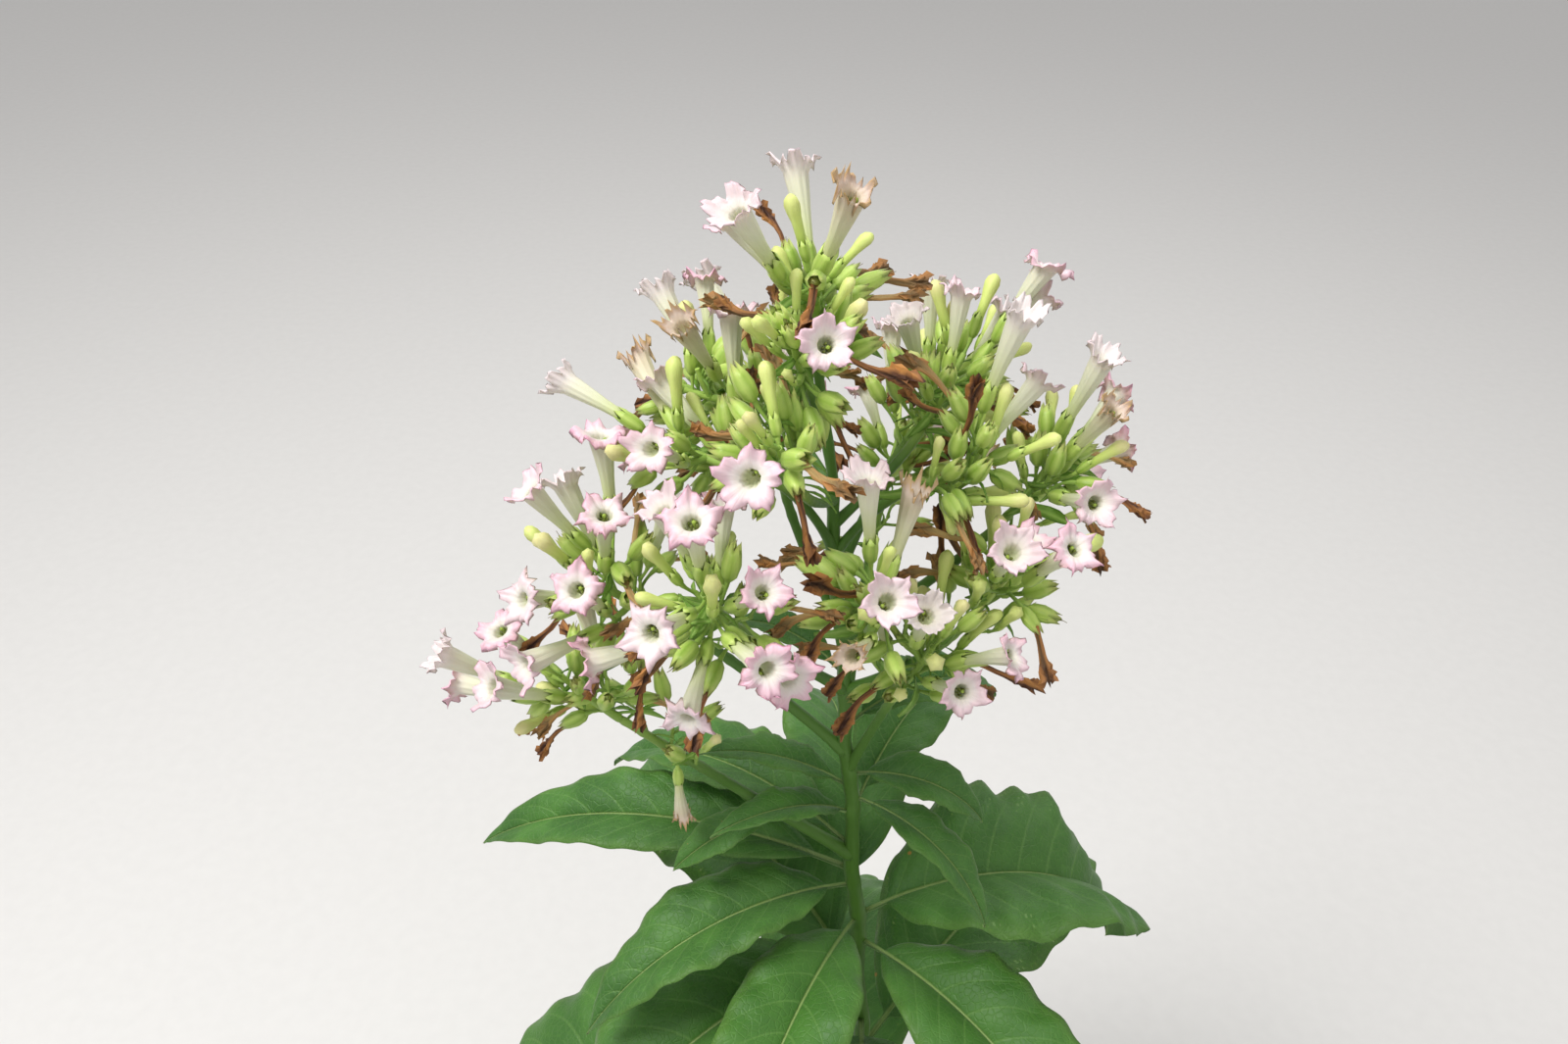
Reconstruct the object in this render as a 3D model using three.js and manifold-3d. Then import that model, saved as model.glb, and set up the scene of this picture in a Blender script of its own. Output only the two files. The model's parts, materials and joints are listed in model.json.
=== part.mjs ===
// A tobacco plant in flower: one leaning stem, slender boughs that end in heads of long
// tubular flowers, seed capsules, buds and withered blooms, and broad leaves below them.
// Millimetres and degrees, +Z up, the origin in the middle of the stem's flat cut at the
// ground. An azimuth of 0 points along +X, and 90 along +Y. A rise is the angle above level.

import * as THREE from "three";
import Module from "manifold-3d";

const wasm = await Module();
wasm.setup();
const { Manifold, Mesh } = wasm;

// Main stem
const STEM_TOP = 1259; // height where the stem passes into the top flower head
const STEM_LEAN = 95; // how far the top stands to the left of the foot
const LEAN_POWER = 1.5; // the stem is upright at the ground and leans more as it rises
const STEM_ZIGZAG = 1.6; // sideways step from one leaf node to the next
const NODE_SPACING = 62; // height between leaf nodes
const STEM_FOOT_RADIUS = 11.5;
const STEM_TIP_RADIUS = 2.4;
const STEM_TAPER = 0.8; // power of the taper: under 1 keeps the upper stem slender
const FLARE_WIDTH = 6.5; // extra radius of the root flare at the ground
const FLARE_HEIGHT = 34;
const STEM_SIDES = 10;

// Boughs and the stalks that carry the flowers
const BOUGH_THIN = 1.6; // radius of a bough of no length
const BOUGH_THICKENING = 0.0125; // radius that each millimetre of a bough's length adds
const BOUGH_TIP_RADIUS = 2.2;
const BOUGH_STEPS = 6;
const BOUGH_SIDES = 6;
const STALK_TIP_RADIUS = 1.8;
const STALK_STEPS = 2;
const STALK_SIDES = 3;
const FIT = 0.3; // clearance where one solid meets the next
const LEAF_FIT = 0.4; // clearance from the stem's corners to a leaf's foot
const LEAST_DETAIL = 0.02; // slivers thinner than this are merged away

// Flowers, buds and fruit
const FLOWER_LENGTH = 52; // from the foot of the calyx to the mouth
const LIMB_WIDTH = 34; // across the five points of an open flower
const NOTCH_SHARE = 0.66; // radius between two points as a share of the radius at a point
const CALYX_LENGTH = 16;
const CALYX_RADIUS = 4.2;
const TUBE_RADIUS = 2.4;
const THROAT_RADIUS = 5;
const PEDICEL_RADIUS = 0.8;
const LOBES = 5;
const PEDICEL_SIDES = 3;

// Leaves
const LEAF_STATIONS = 9;
const PETIOLE_SHARE = 0.07; // share of a leaf's length that is bare stalk
const LEAF_THICKNESS_SHARE = 1 / 85;
const LEAF_LEAST_THICKNESS = 1.8;
const LEAF_FOLD = 0.26; // how far a blade's halves rise, as a share of their width
const LEAF_ARCH = 0.13; // how far they bow up between midrib and edge
const EDGE_WAVE = 0.09; // height of the waves along the edges, as a share of the half width
const WAVES = 3.4; // waves from the foot of a leaf to its tip
const DROOP_POWER = 1.3; // over 1 lets a leaf fall away mostly towards its tip
const GOLDEN_ANGLE = 137.5;

// What a flower, bud or fruit measures: its stalk, its length, how much its line is pulled up
// (or down) and outwards, and the radius kept clear round its far end.
const ORGANS = {
  flower: { pedicel: 11, length: FLOWER_LENGTH, lift: 0.35, spread: 0.45, room: 17.5 },
  withered: { pedicel: 12, length: 43, lift: -0.55, spread: 0.15, room: 6 },
  capsule: { pedicel: 13, length: 20, lift: 0.3, spread: 0.2, room: 6.5 },
  bud: { pedicel: 8, length: 36, lift: 0.45, spread: 0.1, room: 4.5 },
};
const BODY_ROOM = 4.8; // radius kept clear round the body of a flower, bud or fruit
const STALK_ROOM = 1.9; // radius kept clear round a stalk
const OWN_SHARE = 0.85; // organs of one head may stand this much closer to each other

// How a flower head branches
const SIDE_STALKS = 2;
const SIDE_STALK_START = 0.24; // share of the main stalk below the first side stalk
const SIDE_STALK_STEP = 0.34;
const SIDE_STALK_ANGLE = 51.5;
const MAIN_SITES = 6; // organs along the main stalk
const MAIN_SITE_START = 0.34;
const SIDE_SITES = 3;
const SIDE_SITE_START = 0.45;
const TRIES = 8; // draws for an organ before it is skipped

const UP = new THREE.Vector3(0, 0, 1);
const { degToRad, lerp } = THREE.MathUtils;

// Each bough: the height of its foot, the azimuth, rise and length of the straight line to its
// tip, then the azimuth, rise and length of the main stalk of its flower head, and that head's
// seed.
const BOUGH_ROWS = [
  ["left_low", 880, 191, 46, 207, 190, 47, 47, 4738],
  ["right_low", 962, 303, 69, 119, 294, 61, 48, 819],
  ["left", 978, 191, 48, 173, 217, 46, 53, 5802],
  ["back_low", 1000, 78, 50, 135, 70, 48, 44, 47],
  ["right", 1030, 342, 48, 93, 1, 60, 47, 6480],
  ["front_left", 1030, 225, 50, 144, 246, 52, 38, 2546],
  ["right_far", 1070, 14, 41, 126, 43, 30, 34, 218],
  ["back_left", 1080, 123, 48, 109, 97, 32, 50, 4069],
  ["front", 1100, 284, 29, 70, 264, 61, 37, 9535],
  ["back_right", 1110, 55, 39, 103, 52, 14, 47, 3877],
  ["right_mid", 1130, 355, 50, 64, 0, 22, 38, 8251],
  ["left_upper", 1134, 198, 53, 68, 164, 5, 50, 40],
  ["right_upper", 1150, 35, 37, 68, 57, 27, 49, 2481],
  ["front_upper", 1166, 250, 38, 70, 233, 59, 34, 288],
  ["left_back", 1170, 136, 21, 68, 177, 4, 35, 4416],
  ["front_top", 1200, 231, 66, 51, 255, 47, 37, 106],
];
const TOP_HEAD = {
  name: "top",
  headAzimuth: 212,
  headRise: 83,
  headLength: 31,
  seed: 6606,
};

// Each leaf: the height of its foot, its azimuth there, its length and width, the rise of its
// midrib at the foot, how far that falls by the tip, how far the midrib turns sideways, and how
// far the blade is tipped about it by the tip.
const LEAF_ROWS = [
  ["right", 818, 8, 244, 142, 32, 120, 5, -16],
  ["low_left", 785, 217, 290, 96, 12, 80, -4, 8],
  ["front_left", 815, 243, 235, 78, 22, 92, 6, -10],
  ["front_right", 790, 316, 250, 88, 18, 86, -4, 14],
  ["back", 830, 92, 240, 92, 34, 96, 8, 6],
  ["left_down", 852, 203, 205, 66, 16, 70, 10, 12],
  ["left_long", 868, 168, 282, 62, 15, 62, 2, -16],
  ["back_left", 890, 146, 215, 62, 20, 76, 8, 10],
  ["arching_left", 926, 212, 104, 30, 42, 62, -6, 10],
  ["arching_right", 938, 330, 118, 32, 6, 74, -14, -12],
  ["back_right", 925, 62, 160, 58, 28, 84, -6, 0],
  ["right_small", 960, 352, 92, 34, 14, 74, -4, 10],
  ["upper_right", 1002, 30, 120, 42, 26, 86, -8, -8],
  ["upper_left", 950, 178, 98, 30, 34, 56, 0, 14],
  ["upper_back", 1045, 150, 76, 24, 30, 66, 4, 0],
];
const LOW_LEAVES = 8; // the broad leaves below those, one to a node of the stem
const LOW_LEAF_TOP = 742;
const LOW_LEAF_STEP = 47;
const LOW_LEAF_AZIMUTH = 130;
const LOW_LEAF_LENGTH = 318;
const LOW_LEAF_GROWTH = 9; // each lower leaf is longer than the one above it

// A fixed run of numbers between 0 and 1 from a seed.
class Dice {
  constructor(seed) {
    this.state = seed >>> 0;
    this.roll();
    this.roll();
  }

  roll() {
    this.state = (Math.imul(this.state, 1664525) + 1013904223) >>> 0;
    return this.state / 4294967296;
  }

  between(low, high) {
    return low + (high - low) * this.roll();
  }
}

// The unit vector at an azimuth and a rise.
function toward(azimuth, rise) {
  const flat = Math.cos(degToRad(rise));
  return new THREE.Vector3(
    flat * Math.cos(degToRad(azimuth)),
    flat * Math.sin(degToRad(azimuth)),
    Math.sin(degToRad(rise)),
  );
}

// The unit vector square to an axis, turned about it from its level side.
function square(axis, turn) {
  const level = new THREE.Vector3().crossVectors(UP, axis);
  if (level.length() < 0.05) level.set(0, 1, 0);
  level.normalize();
  const over = new THREE.Vector3().crossVectors(axis, level).normalize();
  return level
    .multiplyScalar(Math.cos(degToRad(turn)))
    .addScaledVector(over, Math.sin(degToRad(turn)));
}

// The unit vector that leans from an axis by an angle, to the side that a turn about it gives.
function leaning(axis, angle, turn) {
  return axis
    .clone()
    .multiplyScalar(Math.cos(degToRad(angle)))
    .addScaledVector(square(axis, turn), Math.sin(degToRad(angle)))
    .normalize();
}

// A point at a distance along a unit vector.
function beyond(point, aim, distance) {
  return point.clone().addScaledVector(aim, distance);
}

// A ring of points round a centre, square to its axis. A second radius alternates with the first.
function ring(centre, axis, radius, sides, turn = 0, notch = radius, notchBack = 0) {
  const points = [];
  for (let i = 0; i < sides; i += 1) {
    const pointed = i % 2 === 0;
    const out = square(axis, turn + (360 * i) / sides);
    const point = beyond(centre, out, pointed ? radius : notch);
    points.push(beyond(point, axis, pointed ? 0 : notchBack));
  }
  return points;
}

// Triangles between two neighbouring rings of any two counts of points.
function band(lower, upper, triangles) {
  const n = lower.length;
  const m = upper.length;
  let i = 0;
  let j = 0;
  while (i < n || (m > 1 && j < m)) {
    if (m === 1 || j === m || (i < n && (i + 1) / n <= (j + 1) / m)) {
      triangles.push([lower[i], lower[(i + 1) % n], upper[j % m]]);
      i += 1;
    } else {
      triangles.push([lower[i % n], upper[(j + 1) % m], upper[j]]);
      j += 1;
    }
  }
}

// A closed solid through a row of rings, its first and last ring filled in.
function loft(rings) {
  const vertices = rings.flat();
  let next = 0;
  const numbered = rings.map((points) => points.map(() => next++));
  const triangles = [];
  for (let i = 0; i + 1 < numbered.length; i += 1) band(numbered[i], numbered[i + 1], triangles);
  const first = numbered[0];
  for (let i = 1; i + 1 < first.length; i += 1) triangles.push([first[0], first[i + 1], first[i]]);
  const last = numbered.at(-1);
  for (let i = 1; i + 1 < last.length; i += 1) triangles.push([last[0], last[i], last[i + 1]]);
  return solid(vertices, triangles);
}

// A solid from its vertices and triangles, turned right side out.
function solid(vertices, triangles) {
  let volume = 0;
  for (const [a, b, c] of triangles) {
    volume += vertices[a].dot(new THREE.Vector3().crossVectors(vertices[b], vertices[c]));
  }
  const facing = volume < 0 ? triangles.map(([a, b, c]) => [a, c, b]) : triangles;
  return new Manifold(
    new Mesh({
      numProp: 3,
      vertProperties: new Float32Array(vertices.flatMap((v) => [v.x, v.y, v.z])),
      triVerts: new Uint32Array(facing.flat()),
    }),
  );
}

// What is left of a solid outside another one: the biggest of its separate bodies.
function cutBy(made, other) {
  const bodies = made.subtract(other).decompose();
  return bodies.reduce((best, body) => (body.volume() > best.volume() ? body : best));
}

// The main stem's middle at a height.
function stemPoint(height) {
  const lean = STEM_LEAN * (height / STEM_TOP) ** LEAN_POWER;
  const step = Math.floor(height / NODE_SPACING);
  const share = height / NODE_SPACING - step;
  const rising = Math.min(1, height / NODE_SPACING);
  const zigzag = STEM_ZIGZAG * rising * (step % 2 === 0 ? 2 * share - 1 : 1 - 2 * share);
  return new THREE.Vector3(-lean + zigzag, 0.6 * zigzag, height);
}

function stemRadius(height) {
  const taper = lerp(STEM_FOOT_RADIUS, STEM_TIP_RADIUS, (height / STEM_TOP) ** STEM_TAPER);
  return taper + FLARE_WIDTH * Math.exp(-((height / FLARE_HEIGHT) ** 1.4) * 2);
}

// The heights where the stem bends: through the root flare, then at each leaf node.
function stemHeights() {
  const heights = [0, 0.35 * FLARE_HEIGHT, FLARE_HEIGHT];
  for (let height = NODE_SPACING; height < STEM_TOP; height += NODE_SPACING) heights.push(height);
  return [...heights, STEM_TOP];
}

// The main stem, with its radius grown by a margin.
function stemSolid(margin) {
  return loft(
    stemHeights().map((height) => ring(stemPoint(height), UP, stemRadius(height) + margin, STEM_SIDES)),
  );
}

// A bough's curve leaves the stem and bends into the line of its flower head's stalk.
function boughCurve(bough) {
  const foot = stemPoint(bough.foot);
  const tip = beyond(foot, toward(bough.azimuth, bough.rise), bough.length);
  const aim = toward(bough.headAzimuth, bough.headRise);
  return new THREE.QuadraticBezierCurve3(foot, beyond(tip, aim, -0.35 * bough.length), tip);
}

// A round limb along a curve, from one radius to another.
function limb(curve, steps, sides, footRadius, tipRadius) {
  const rings = [];
  for (let i = 0; i <= steps; i += 1) {
    const share = i / steps;
    const radius = lerp(footRadius, tipRadius, share);
    rings.push(ring(curve.getPoint(share), curve.getTangent(share), radius, sides));
  }
  return loft(rings);
}

function boughRadius(bough) {
  return BOUGH_THIN + BOUGH_THICKENING * bough.length;
}

// The kind of organ at a share of its stalk: fruit at the foot, flowers, then buds at the tip.
function kindAt(share, draw) {
  if (share > 0.85) return draw < 0.5 ? "bud" : "flower";
  if (share > 0.4) return draw < 0.56 ? "flower" : draw < 0.8 ? "withered" : "capsule";
  return draw < 0.5 ? "capsule" : draw < 0.88 ? "withered" : "flower";
}

// The least distance between two straight pieces, each from a to b.
function apart(one, other) {
  const u = new THREE.Vector3().subVectors(one.b, one.a);
  const v = new THREE.Vector3().subVectors(other.b, other.a);
  const w = new THREE.Vector3().subVectors(one.a, other.a);
  const uu = Math.max(u.dot(u), 1e-9);
  const uv = u.dot(v);
  const vv = Math.max(v.dot(v), 1e-9);
  const uw = u.dot(w);
  const vw = v.dot(w);
  const slant = uu * vv - uv * uv;
  const clamp = (value) => Math.min(1, Math.max(0, value));
  let s = slant > 1e-9 * uu * vv ? clamp((uv * vw - vv * uw) / slant) : 0;
  const t = clamp((uv * s + vw) / vv);
  s = clamp((uv * t - uw) / uu);
  return beyond(one.a, u, s).distanceTo(beyond(other.a, v, t));
}

// Whether straight pieces with room round them stay clear of what already grows.
function isClear(pieces, grown, owner) {
  return pieces.every((piece) =>
    grown.every((other) => {
      const own = other.owner === owner;
      if (own && (piece.stalk || other.stalk)) return true;
      const room = piece.room + other.room;
      return apart(piece, other) > (own ? OWN_SHARE * room : room + FIT);
    }),
  );
}

// The straight pieces that stand for a curve when its room is tested.
function piecesOf(curve, steps, room, owner) {
  const points = curve.getPoints(steps);
  return points.slice(1).map((b, i) => ({ a: points[i], b, room, owner, stalk: true }));
}

// A flower head grows from its bough's tip: a stalk, side stalks by the golden angle, and on
// each of them organs in a spiral. What would touch a limb, a leaf or another head is drawn
// again a few times and then skipped.
function mainStalk(head) {
  const carrier = head.foot ? boughCurve(head).getPoint(1) : stemPoint(STEM_TOP);
  const aim = toward(head.headAzimuth, head.headRise);
  const start = beyond(carrier, aim, FIT);
  const bend = beyond(start, aim, 0.5 * head.headLength);
  const rising = aim.clone().addScaledVector(UP, 0.25).normalize();
  return new THREE.QuadraticBezierCurve3(start, bend, beyond(bend, rising, 0.5 * head.headLength));
}

function growHead(head, main, grown) {
  const owner = `head_${head.name}`;
  const dice = new Dice(head.seed);
  const start = main.getPoint(0);
  const stalks = [{ curve: main, sites: MAIN_SITES, from: MAIN_SITE_START, radius: BOUGH_TIP_RADIUS }];
  let turn = dice.between(0, 360);
  for (let i = 0; i < SIDE_STALKS; i += 1) {
    const share = SIDE_STALK_START + SIDE_STALK_STEP * i + dice.between(-0.05, 0.05);
    for (let attempt = 0; attempt < TRIES; attempt += 1) {
      turn += GOLDEN_ANGLE;
      const foot = main.getPoint(share);
      const tangent = main.getTangent(share);
      const out = leaning(tangent, SIDE_STALK_ANGLE, turn);
      const length = head.headLength * dice.between(0.38, 0.55);
      const knee = beyond(foot, out, 0.5 * length);
      const end = beyond(knee, out.clone().addScaledVector(UP, 0.4).normalize(), 0.5 * length);
      const curve = new THREE.QuadraticBezierCurve3(foot, knee, end);
      const pieces = piecesOf(curve, STALK_STEPS, STALK_ROOM, owner);
      if (isClear(pieces, grown, owner)) {
        grown.push(...pieces);
        stalks.push({ curve, sites: SIDE_SITES, from: SIDE_SITE_START, radius: STALK_TIP_RADIUS });
        break;
      }
    }
  }
  const organs = [];
  for (const stalk of stalks) {
    for (let site = 0; site < stalk.sites; site += 1) {
      const share = lerp(stalk.from, 1, site / (stalk.sites - 1));
      const kind = kindAt(share, dice.roll());
      for (let attempt = 0; attempt < TRIES; attempt += 1) {
        turn += GOLDEN_ANGLE;
        const organ = placeOrgan(kind, stalk.curve, share, turn, start, dice);
        const pieces = organPieces(organ, owner);
        if (isClear(pieces, grown, owner)) {
          grown.push(...pieces);
          organs.push(organ);
          break;
        }
      }
    }
  }
  return { stalks, organs };
}

// Where one organ stands: its root on the stalk, the elbow where its own stalk meets the calyx,
// and the line that its body follows from there.
function placeOrgan(kind, curve, share, turn, start, dice) {
  const sizes = ORGANS[kind];
  const root = curve.getPoint(share);
  const tangent = curve.getTangent(share);
  const tilt = share > 0.95 ? dice.between(8, 30) : dice.between(42, 74);
  const out = leaning(tangent, tilt, turn);
  const pedicel = sizes.pedicel * dice.between(0.85, 1.25);
  const elbow = beyond(root, out, pedicel);
  const away = new THREE.Vector3().subVectors(elbow, start).normalize();
  const aim = out
    .clone()
    .addScaledVector(UP, sizes.lift)
    .addScaledVector(away, sizes.spread)
    .normalize();
  const length = sizes.length * dice.between(0.9, 1.06);
  return { kind, root, out, elbow, aim, length, twist: dice.between(0, 72) };
}

// The far end of an organ: a withered flower hangs limp from the lip of its calyx.
function organEnd({ kind, elbow, aim, length }) {
  if (kind !== "withered") return beyond(elbow, aim, length);
  return beyond(beyond(elbow, aim, CALYX_LENGTH), limpLine(aim), length - CALYX_LENGTH);
}

function limpLine(aim) {
  return aim.clone().addScaledVector(UP, -0.5).normalize();
}

// The straight pieces that stand for an organ when its room is tested.
function organPieces(organ, owner) {
  const end = organEnd(organ);
  return [
    { a: organ.root, b: organ.elbow, room: STALK_ROOM, owner, stalk: true },
    { a: organ.elbow, b: end, room: BODY_ROOM, owner, stalk: false },
    { a: end, b: end, room: ORGANS[organ.kind].room, owner, stalk: false },
  ];
}

// The organ's own stalk, from its root in the limb that bears it to the calyx.
function pedicelRings({ root, out, elbow, twist }) {
  return [
    ring(root, out, PEDICEL_RADIUS, PEDICEL_SIDES, twist),
    ring(elbow, out, PEDICEL_RADIUS * 1.6, PEDICEL_SIDES, twist),
  ];
}

// An open flower: a barrel of a calyx, a slender tube that widens to the throat, and a limb of
// five points with a hollow in its middle.
function flowerSolid(organ) {
  const { elbow, aim, length, twist } = organ;
  const along = (distance) => beyond(elbow, aim, distance);
  const point = LIMB_WIDTH / 2;
  return loft([
    ...pedicelRings(organ),
    ring(along(0.5 * CALYX_LENGTH), aim, CALYX_RADIUS, LOBES, twist),
    ring(along(1.15 * CALYX_LENGTH), aim, TUBE_RADIUS, LOBES, twist),
    ring(along(length - 9), aim, THROAT_RADIUS, LOBES, twist),
    ring(along(length - 1), aim, point, 2 * LOBES, twist, NOTCH_SHARE * point, -1),
    [along(length - 6)],
  ]);
}

// A withered flower: the calyx, and the corolla hanging from it as a limp and crumpled rag.
function witheredSolid(organ) {
  const { elbow, aim, twist } = organ;
  const limp = limpLine(aim);
  const rag = organEnd(organ);
  return loft([
    ...pedicelRings(organ),
    ring(beyond(elbow, aim, 0.5 * CALYX_LENGTH), aim, CALYX_RADIUS, 4, twist),
    ring(beyond(elbow, aim, CALYX_LENGTH), aim, 2.6, PEDICEL_SIDES, twist),
    ring(beyond(rag, limp, -9), limp, 4.6, 4, twist),
    [rag],
  ]);
}

// A seed capsule: an egg shape held in the calyx.
function capsuleSolid(organ) {
  const { elbow, aim, length, twist } = organ;
  return loft([
    ...pedicelRings(organ),
    ring(beyond(elbow, aim, 0.4 * length), aim, 5.6, 4, twist),
    ring(beyond(elbow, aim, 0.8 * length), aim, 3.6, 4, twist),
    [beyond(elbow, aim, length)],
  ]);
}

// A bud: the calyx, a closed tube and the swollen tip.
function budSolid(organ) {
  const { root, out, elbow, aim, length, twist } = organ;
  return loft([
    ring(root, out, PEDICEL_RADIUS, PEDICEL_SIDES, twist),
    ring(beyond(elbow, aim, 0.25 * CALYX_LENGTH), aim, 3.2, 4, twist),
    ring(beyond(elbow, aim, 0.9 * CALYX_LENGTH), aim, 2.5, PEDICEL_SIDES, twist),
    ring(beyond(elbow, aim, 0.8 * length), aim, 3.7, 4, twist),
    [beyond(elbow, aim, length)],
  ]);
}

const ORGAN_SOLIDS = {
  flower: flowerSolid,
  withered: witheredSolid,
  capsule: capsuleSolid,
  bud: budSolid,
};

// One flower head as one solid, its first ring a clearance beyond the tip that carries it.
function headSolid(head) {
  const pieces = head.stalks.map(({ curve, radius }) =>
    limb(curve, STALK_STEPS, STALK_SIDES, radius, STALK_TIP_RADIUS),
  );
  for (const organ of head.organs) pieces.push(ORGAN_SOLIDS[organ.kind](organ));
  return Manifold.union(pieces).simplify(LEAST_DETAIL);
}

// The midrib of a leaf: its points, and at each the line it follows and the blade's half width.
// It starts far enough out that the leaf's tilted foot clears the stem.
function leafStations(leaf) {
  const back = 0.6 * leafThickness(leaf) * LEAF_FOLD * Math.sin(degToRad(leaf.rise));
  const clear = stemRadius(leaf.foot) + LEAF_FIT + back;
  const foot = beyond(stemPoint(leaf.foot), toward(leaf.azimuth, 0), clear);
  const point = foot.clone();
  const step = leaf.length / LEAF_STATIONS;
  const stations = [];
  for (let i = 0; i <= LEAF_STATIONS; i += 1) {
    const share = i / LEAF_STATIONS;
    const rise = leaf.rise - leaf.droop * share ** DROOP_POWER;
    const tangent = toward(leaf.azimuth + leaf.sweep * share, rise);
    const level = toward(leaf.azimuth + leaf.sweep * share + 90, 0);
    level.applyAxisAngle(tangent, degToRad(leaf.roll * share));
    stations.push({ point: point.clone(), tangent, level, half: halfWidth(leaf, share), share });
    const middle = leaf.rise - leaf.droop * ((i + 0.5) / LEAF_STATIONS) ** DROOP_POWER;
    point.addScaledVector(toward(leaf.azimuth + leaf.sweep * (share + 0.5 / LEAF_STATIONS), middle), step);
  }
  return stations;
}

// Half the blade's width: a bare stalk, the widest place before the middle, and a long point.
function halfWidth(leaf, share) {
  const blade = Math.max(0, (share - PETIOLE_SHARE) / (1 - PETIOLE_SHARE));
  const outline = blade ** 0.78 * (1 - blade) ** 1.05;
  const fullest = 0.426 ** 0.78 * 0.574 ** 1.05;
  return Math.max(leafThickness(leaf) * 0.6 * (1 - share), (0.5 * leaf.width * outline) / fullest);
}

function leafThickness(leaf) {
  return Math.max(LEAF_LEAST_THICKNESS, LEAF_THICKNESS_SHARE * leaf.length);
}

// A leaf: a folded blade, arched between its midrib and its wavy edges, thickest at the midrib.
function leafSolid(leaf, thickness) {
  const rings = leafStations(leaf).map(({ point, tangent, level, half, share }) => {
    const over = new THREE.Vector3().crossVectors(tangent, level).normalize();
    const skin = thickness * lerp(1, 0.55, share);
    const across = (side, lift, depth) =>
      beyond(beyond(point, level, side * half), over, lift * half - depth * skin);
    const ripple = (turn) => EDGE_WAVE * Math.sin(2 * Math.PI * (WAVES * share + turn));
    const middle = 0.5 * LEAF_FOLD + LEAF_ARCH;
    const left = LEAF_FOLD + ripple(0.1);
    const right = LEAF_FOLD + ripple(0.6);
    return [
      across(1, left, 0.5),
      across(0.5, middle, 0.1),
      across(0, 0, 0),
      across(-0.5, middle, 0.1),
      across(-1, right, 0.5),
      across(-0.5, middle, 0.9),
      across(0, 0, 1.35),
      across(0.5, middle, 0.9),
    ];
  });
  const tip = rings.pop();
  rings.push([tip[2]]);
  return loft(rings);
}

// The straight pieces across a leaf that stand for it when room is tested.
function leafPieces(leaf) {
  const stations = leafStations(leaf);
  return stations.map(({ point, level, half }) => ({
    a: beyond(point, level, -half),
    b: beyond(point, level, half),
    room: 0.6 * (leaf.length / LEAF_STATIONS),
    owner: `leaf_${leaf.name}`,
    stalk: false,
  }));
}

// A row of a table as an object with named sizes.
function named(row, names) {
  return Object.fromEntries(names.map((name, i) => [name, row[i]]));
}

// The broad leaves of the lower stem, each a golden angle on from the one above it.
function lowLeaves() {
  const leaves = [];
  for (let i = 0; i < LOW_LEAVES; i += 1) {
    const length = LOW_LEAF_LENGTH + LOW_LEAF_GROWTH * (i < 5 ? i : 9 - i);
    leaves.push({
      name: `low_${i + 1}`,
      foot: LOW_LEAF_TOP - LOW_LEAF_STEP * i,
      azimuth: LOW_LEAF_AZIMUTH + GOLDEN_ANGLE * i,
      length,
      width: 0.44 * length,
      rise: 30,
      droop: 92 + 3 * i,
      sweep: i % 2 === 0 ? 7 : -7,
      roll: i % 2 === 0 ? -9 : 9,
    });
  }
  return leaves;
}

// Colours of the pieces
const STEM_GREEN = { color: 0x7d9a52, roughness: 0.6, metalness: 0 };
const LEAF_GREEN = { color: 0x55774f, roughness: 0.65, metalness: 0 };
const BLOSSOM = { color: 0xe2b3b6, roughness: 0.7, metalness: 0 };

// A named mesh of a solid.
function mesh(name, made, finish) {
  const { vertProperties, triVerts } = made.getMesh();
  const geometry = new THREE.BufferGeometry();
  geometry.setAttribute("position", new THREE.BufferAttribute(vertProperties, 3));
  geometry.setIndex(new THREE.BufferAttribute(triVerts, 1));
  geometry.computeVertexNormals();
  const named = new THREE.Mesh(geometry, new THREE.MeshStandardMaterial(finish));
  named.name = name;
  return named;
}

// The limbs come first, then the leaves, and the flower heads grow in the room that is left.
const plant = new THREE.Group();
const limbs = new THREE.Group();
const leaves = new THREE.Group();
const crown = new THREE.Group();
plant.add(limbs, leaves, crown);

const boughNames = ["name", "foot", "azimuth", "rise", "length"];
const headNames = ["headAzimuth", "headRise", "headLength", "seed"];
const leafNames = ["name", "foot", "azimuth", "length", "width", "rise", "droop", "sweep", "roll"];
const boughs = BOUGH_ROWS.map((row) => named(row, [...boughNames, ...headNames]));
const blades = LEAF_ROWS.map((row) => named(row, leafNames));
const grown = [];
stemHeights().reduce((low, high) => {
  const [a, b] = [stemPoint(low), stemPoint(high)];
  grown.push({ a, b, room: stemRadius(low), owner: "head_top", stalk: true });
  return high;
});
limbs.add(mesh("main_stem", stemSolid(0), STEM_GREEN));
const wideStem = stemSolid(FIT * 1.1);
for (const bough of boughs) {
  const curve = boughCurve(bough);
  const footRadius = boughRadius(bough);
  const made = limb(curve, BOUGH_STEPS, BOUGH_SIDES, footRadius, BOUGH_TIP_RADIUS);
  limbs.add(mesh(`bough_${bough.name}`, cutBy(made, wideStem), STEM_GREEN));
  grown.push(...piecesOf(curve, BOUGH_STEPS, footRadius, `head_${bough.name}`));
}
for (const leaf of [...blades, ...lowLeaves()]) {
  leaves.add(mesh(`leaf_${leaf.name}`, leafSolid(leaf, leafThickness(leaf)), LEAF_GREEN));
  grown.push(...leafPieces(leaf));
}
const heads = [...boughs, TOP_HEAD].map((head) => ({ head, main: mainStalk(head) }));
for (const { head, main } of heads) {
  grown.push(...piecesOf(main, STALK_STEPS, STALK_ROOM, `head_${head.name}`));
}
for (const { head, main } of heads) {
  crown.add(mesh(`flower_head_${head.name}`, headSolid(growHead(head, main, grown)), BLOSSOM));
}

export default plant;
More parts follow.
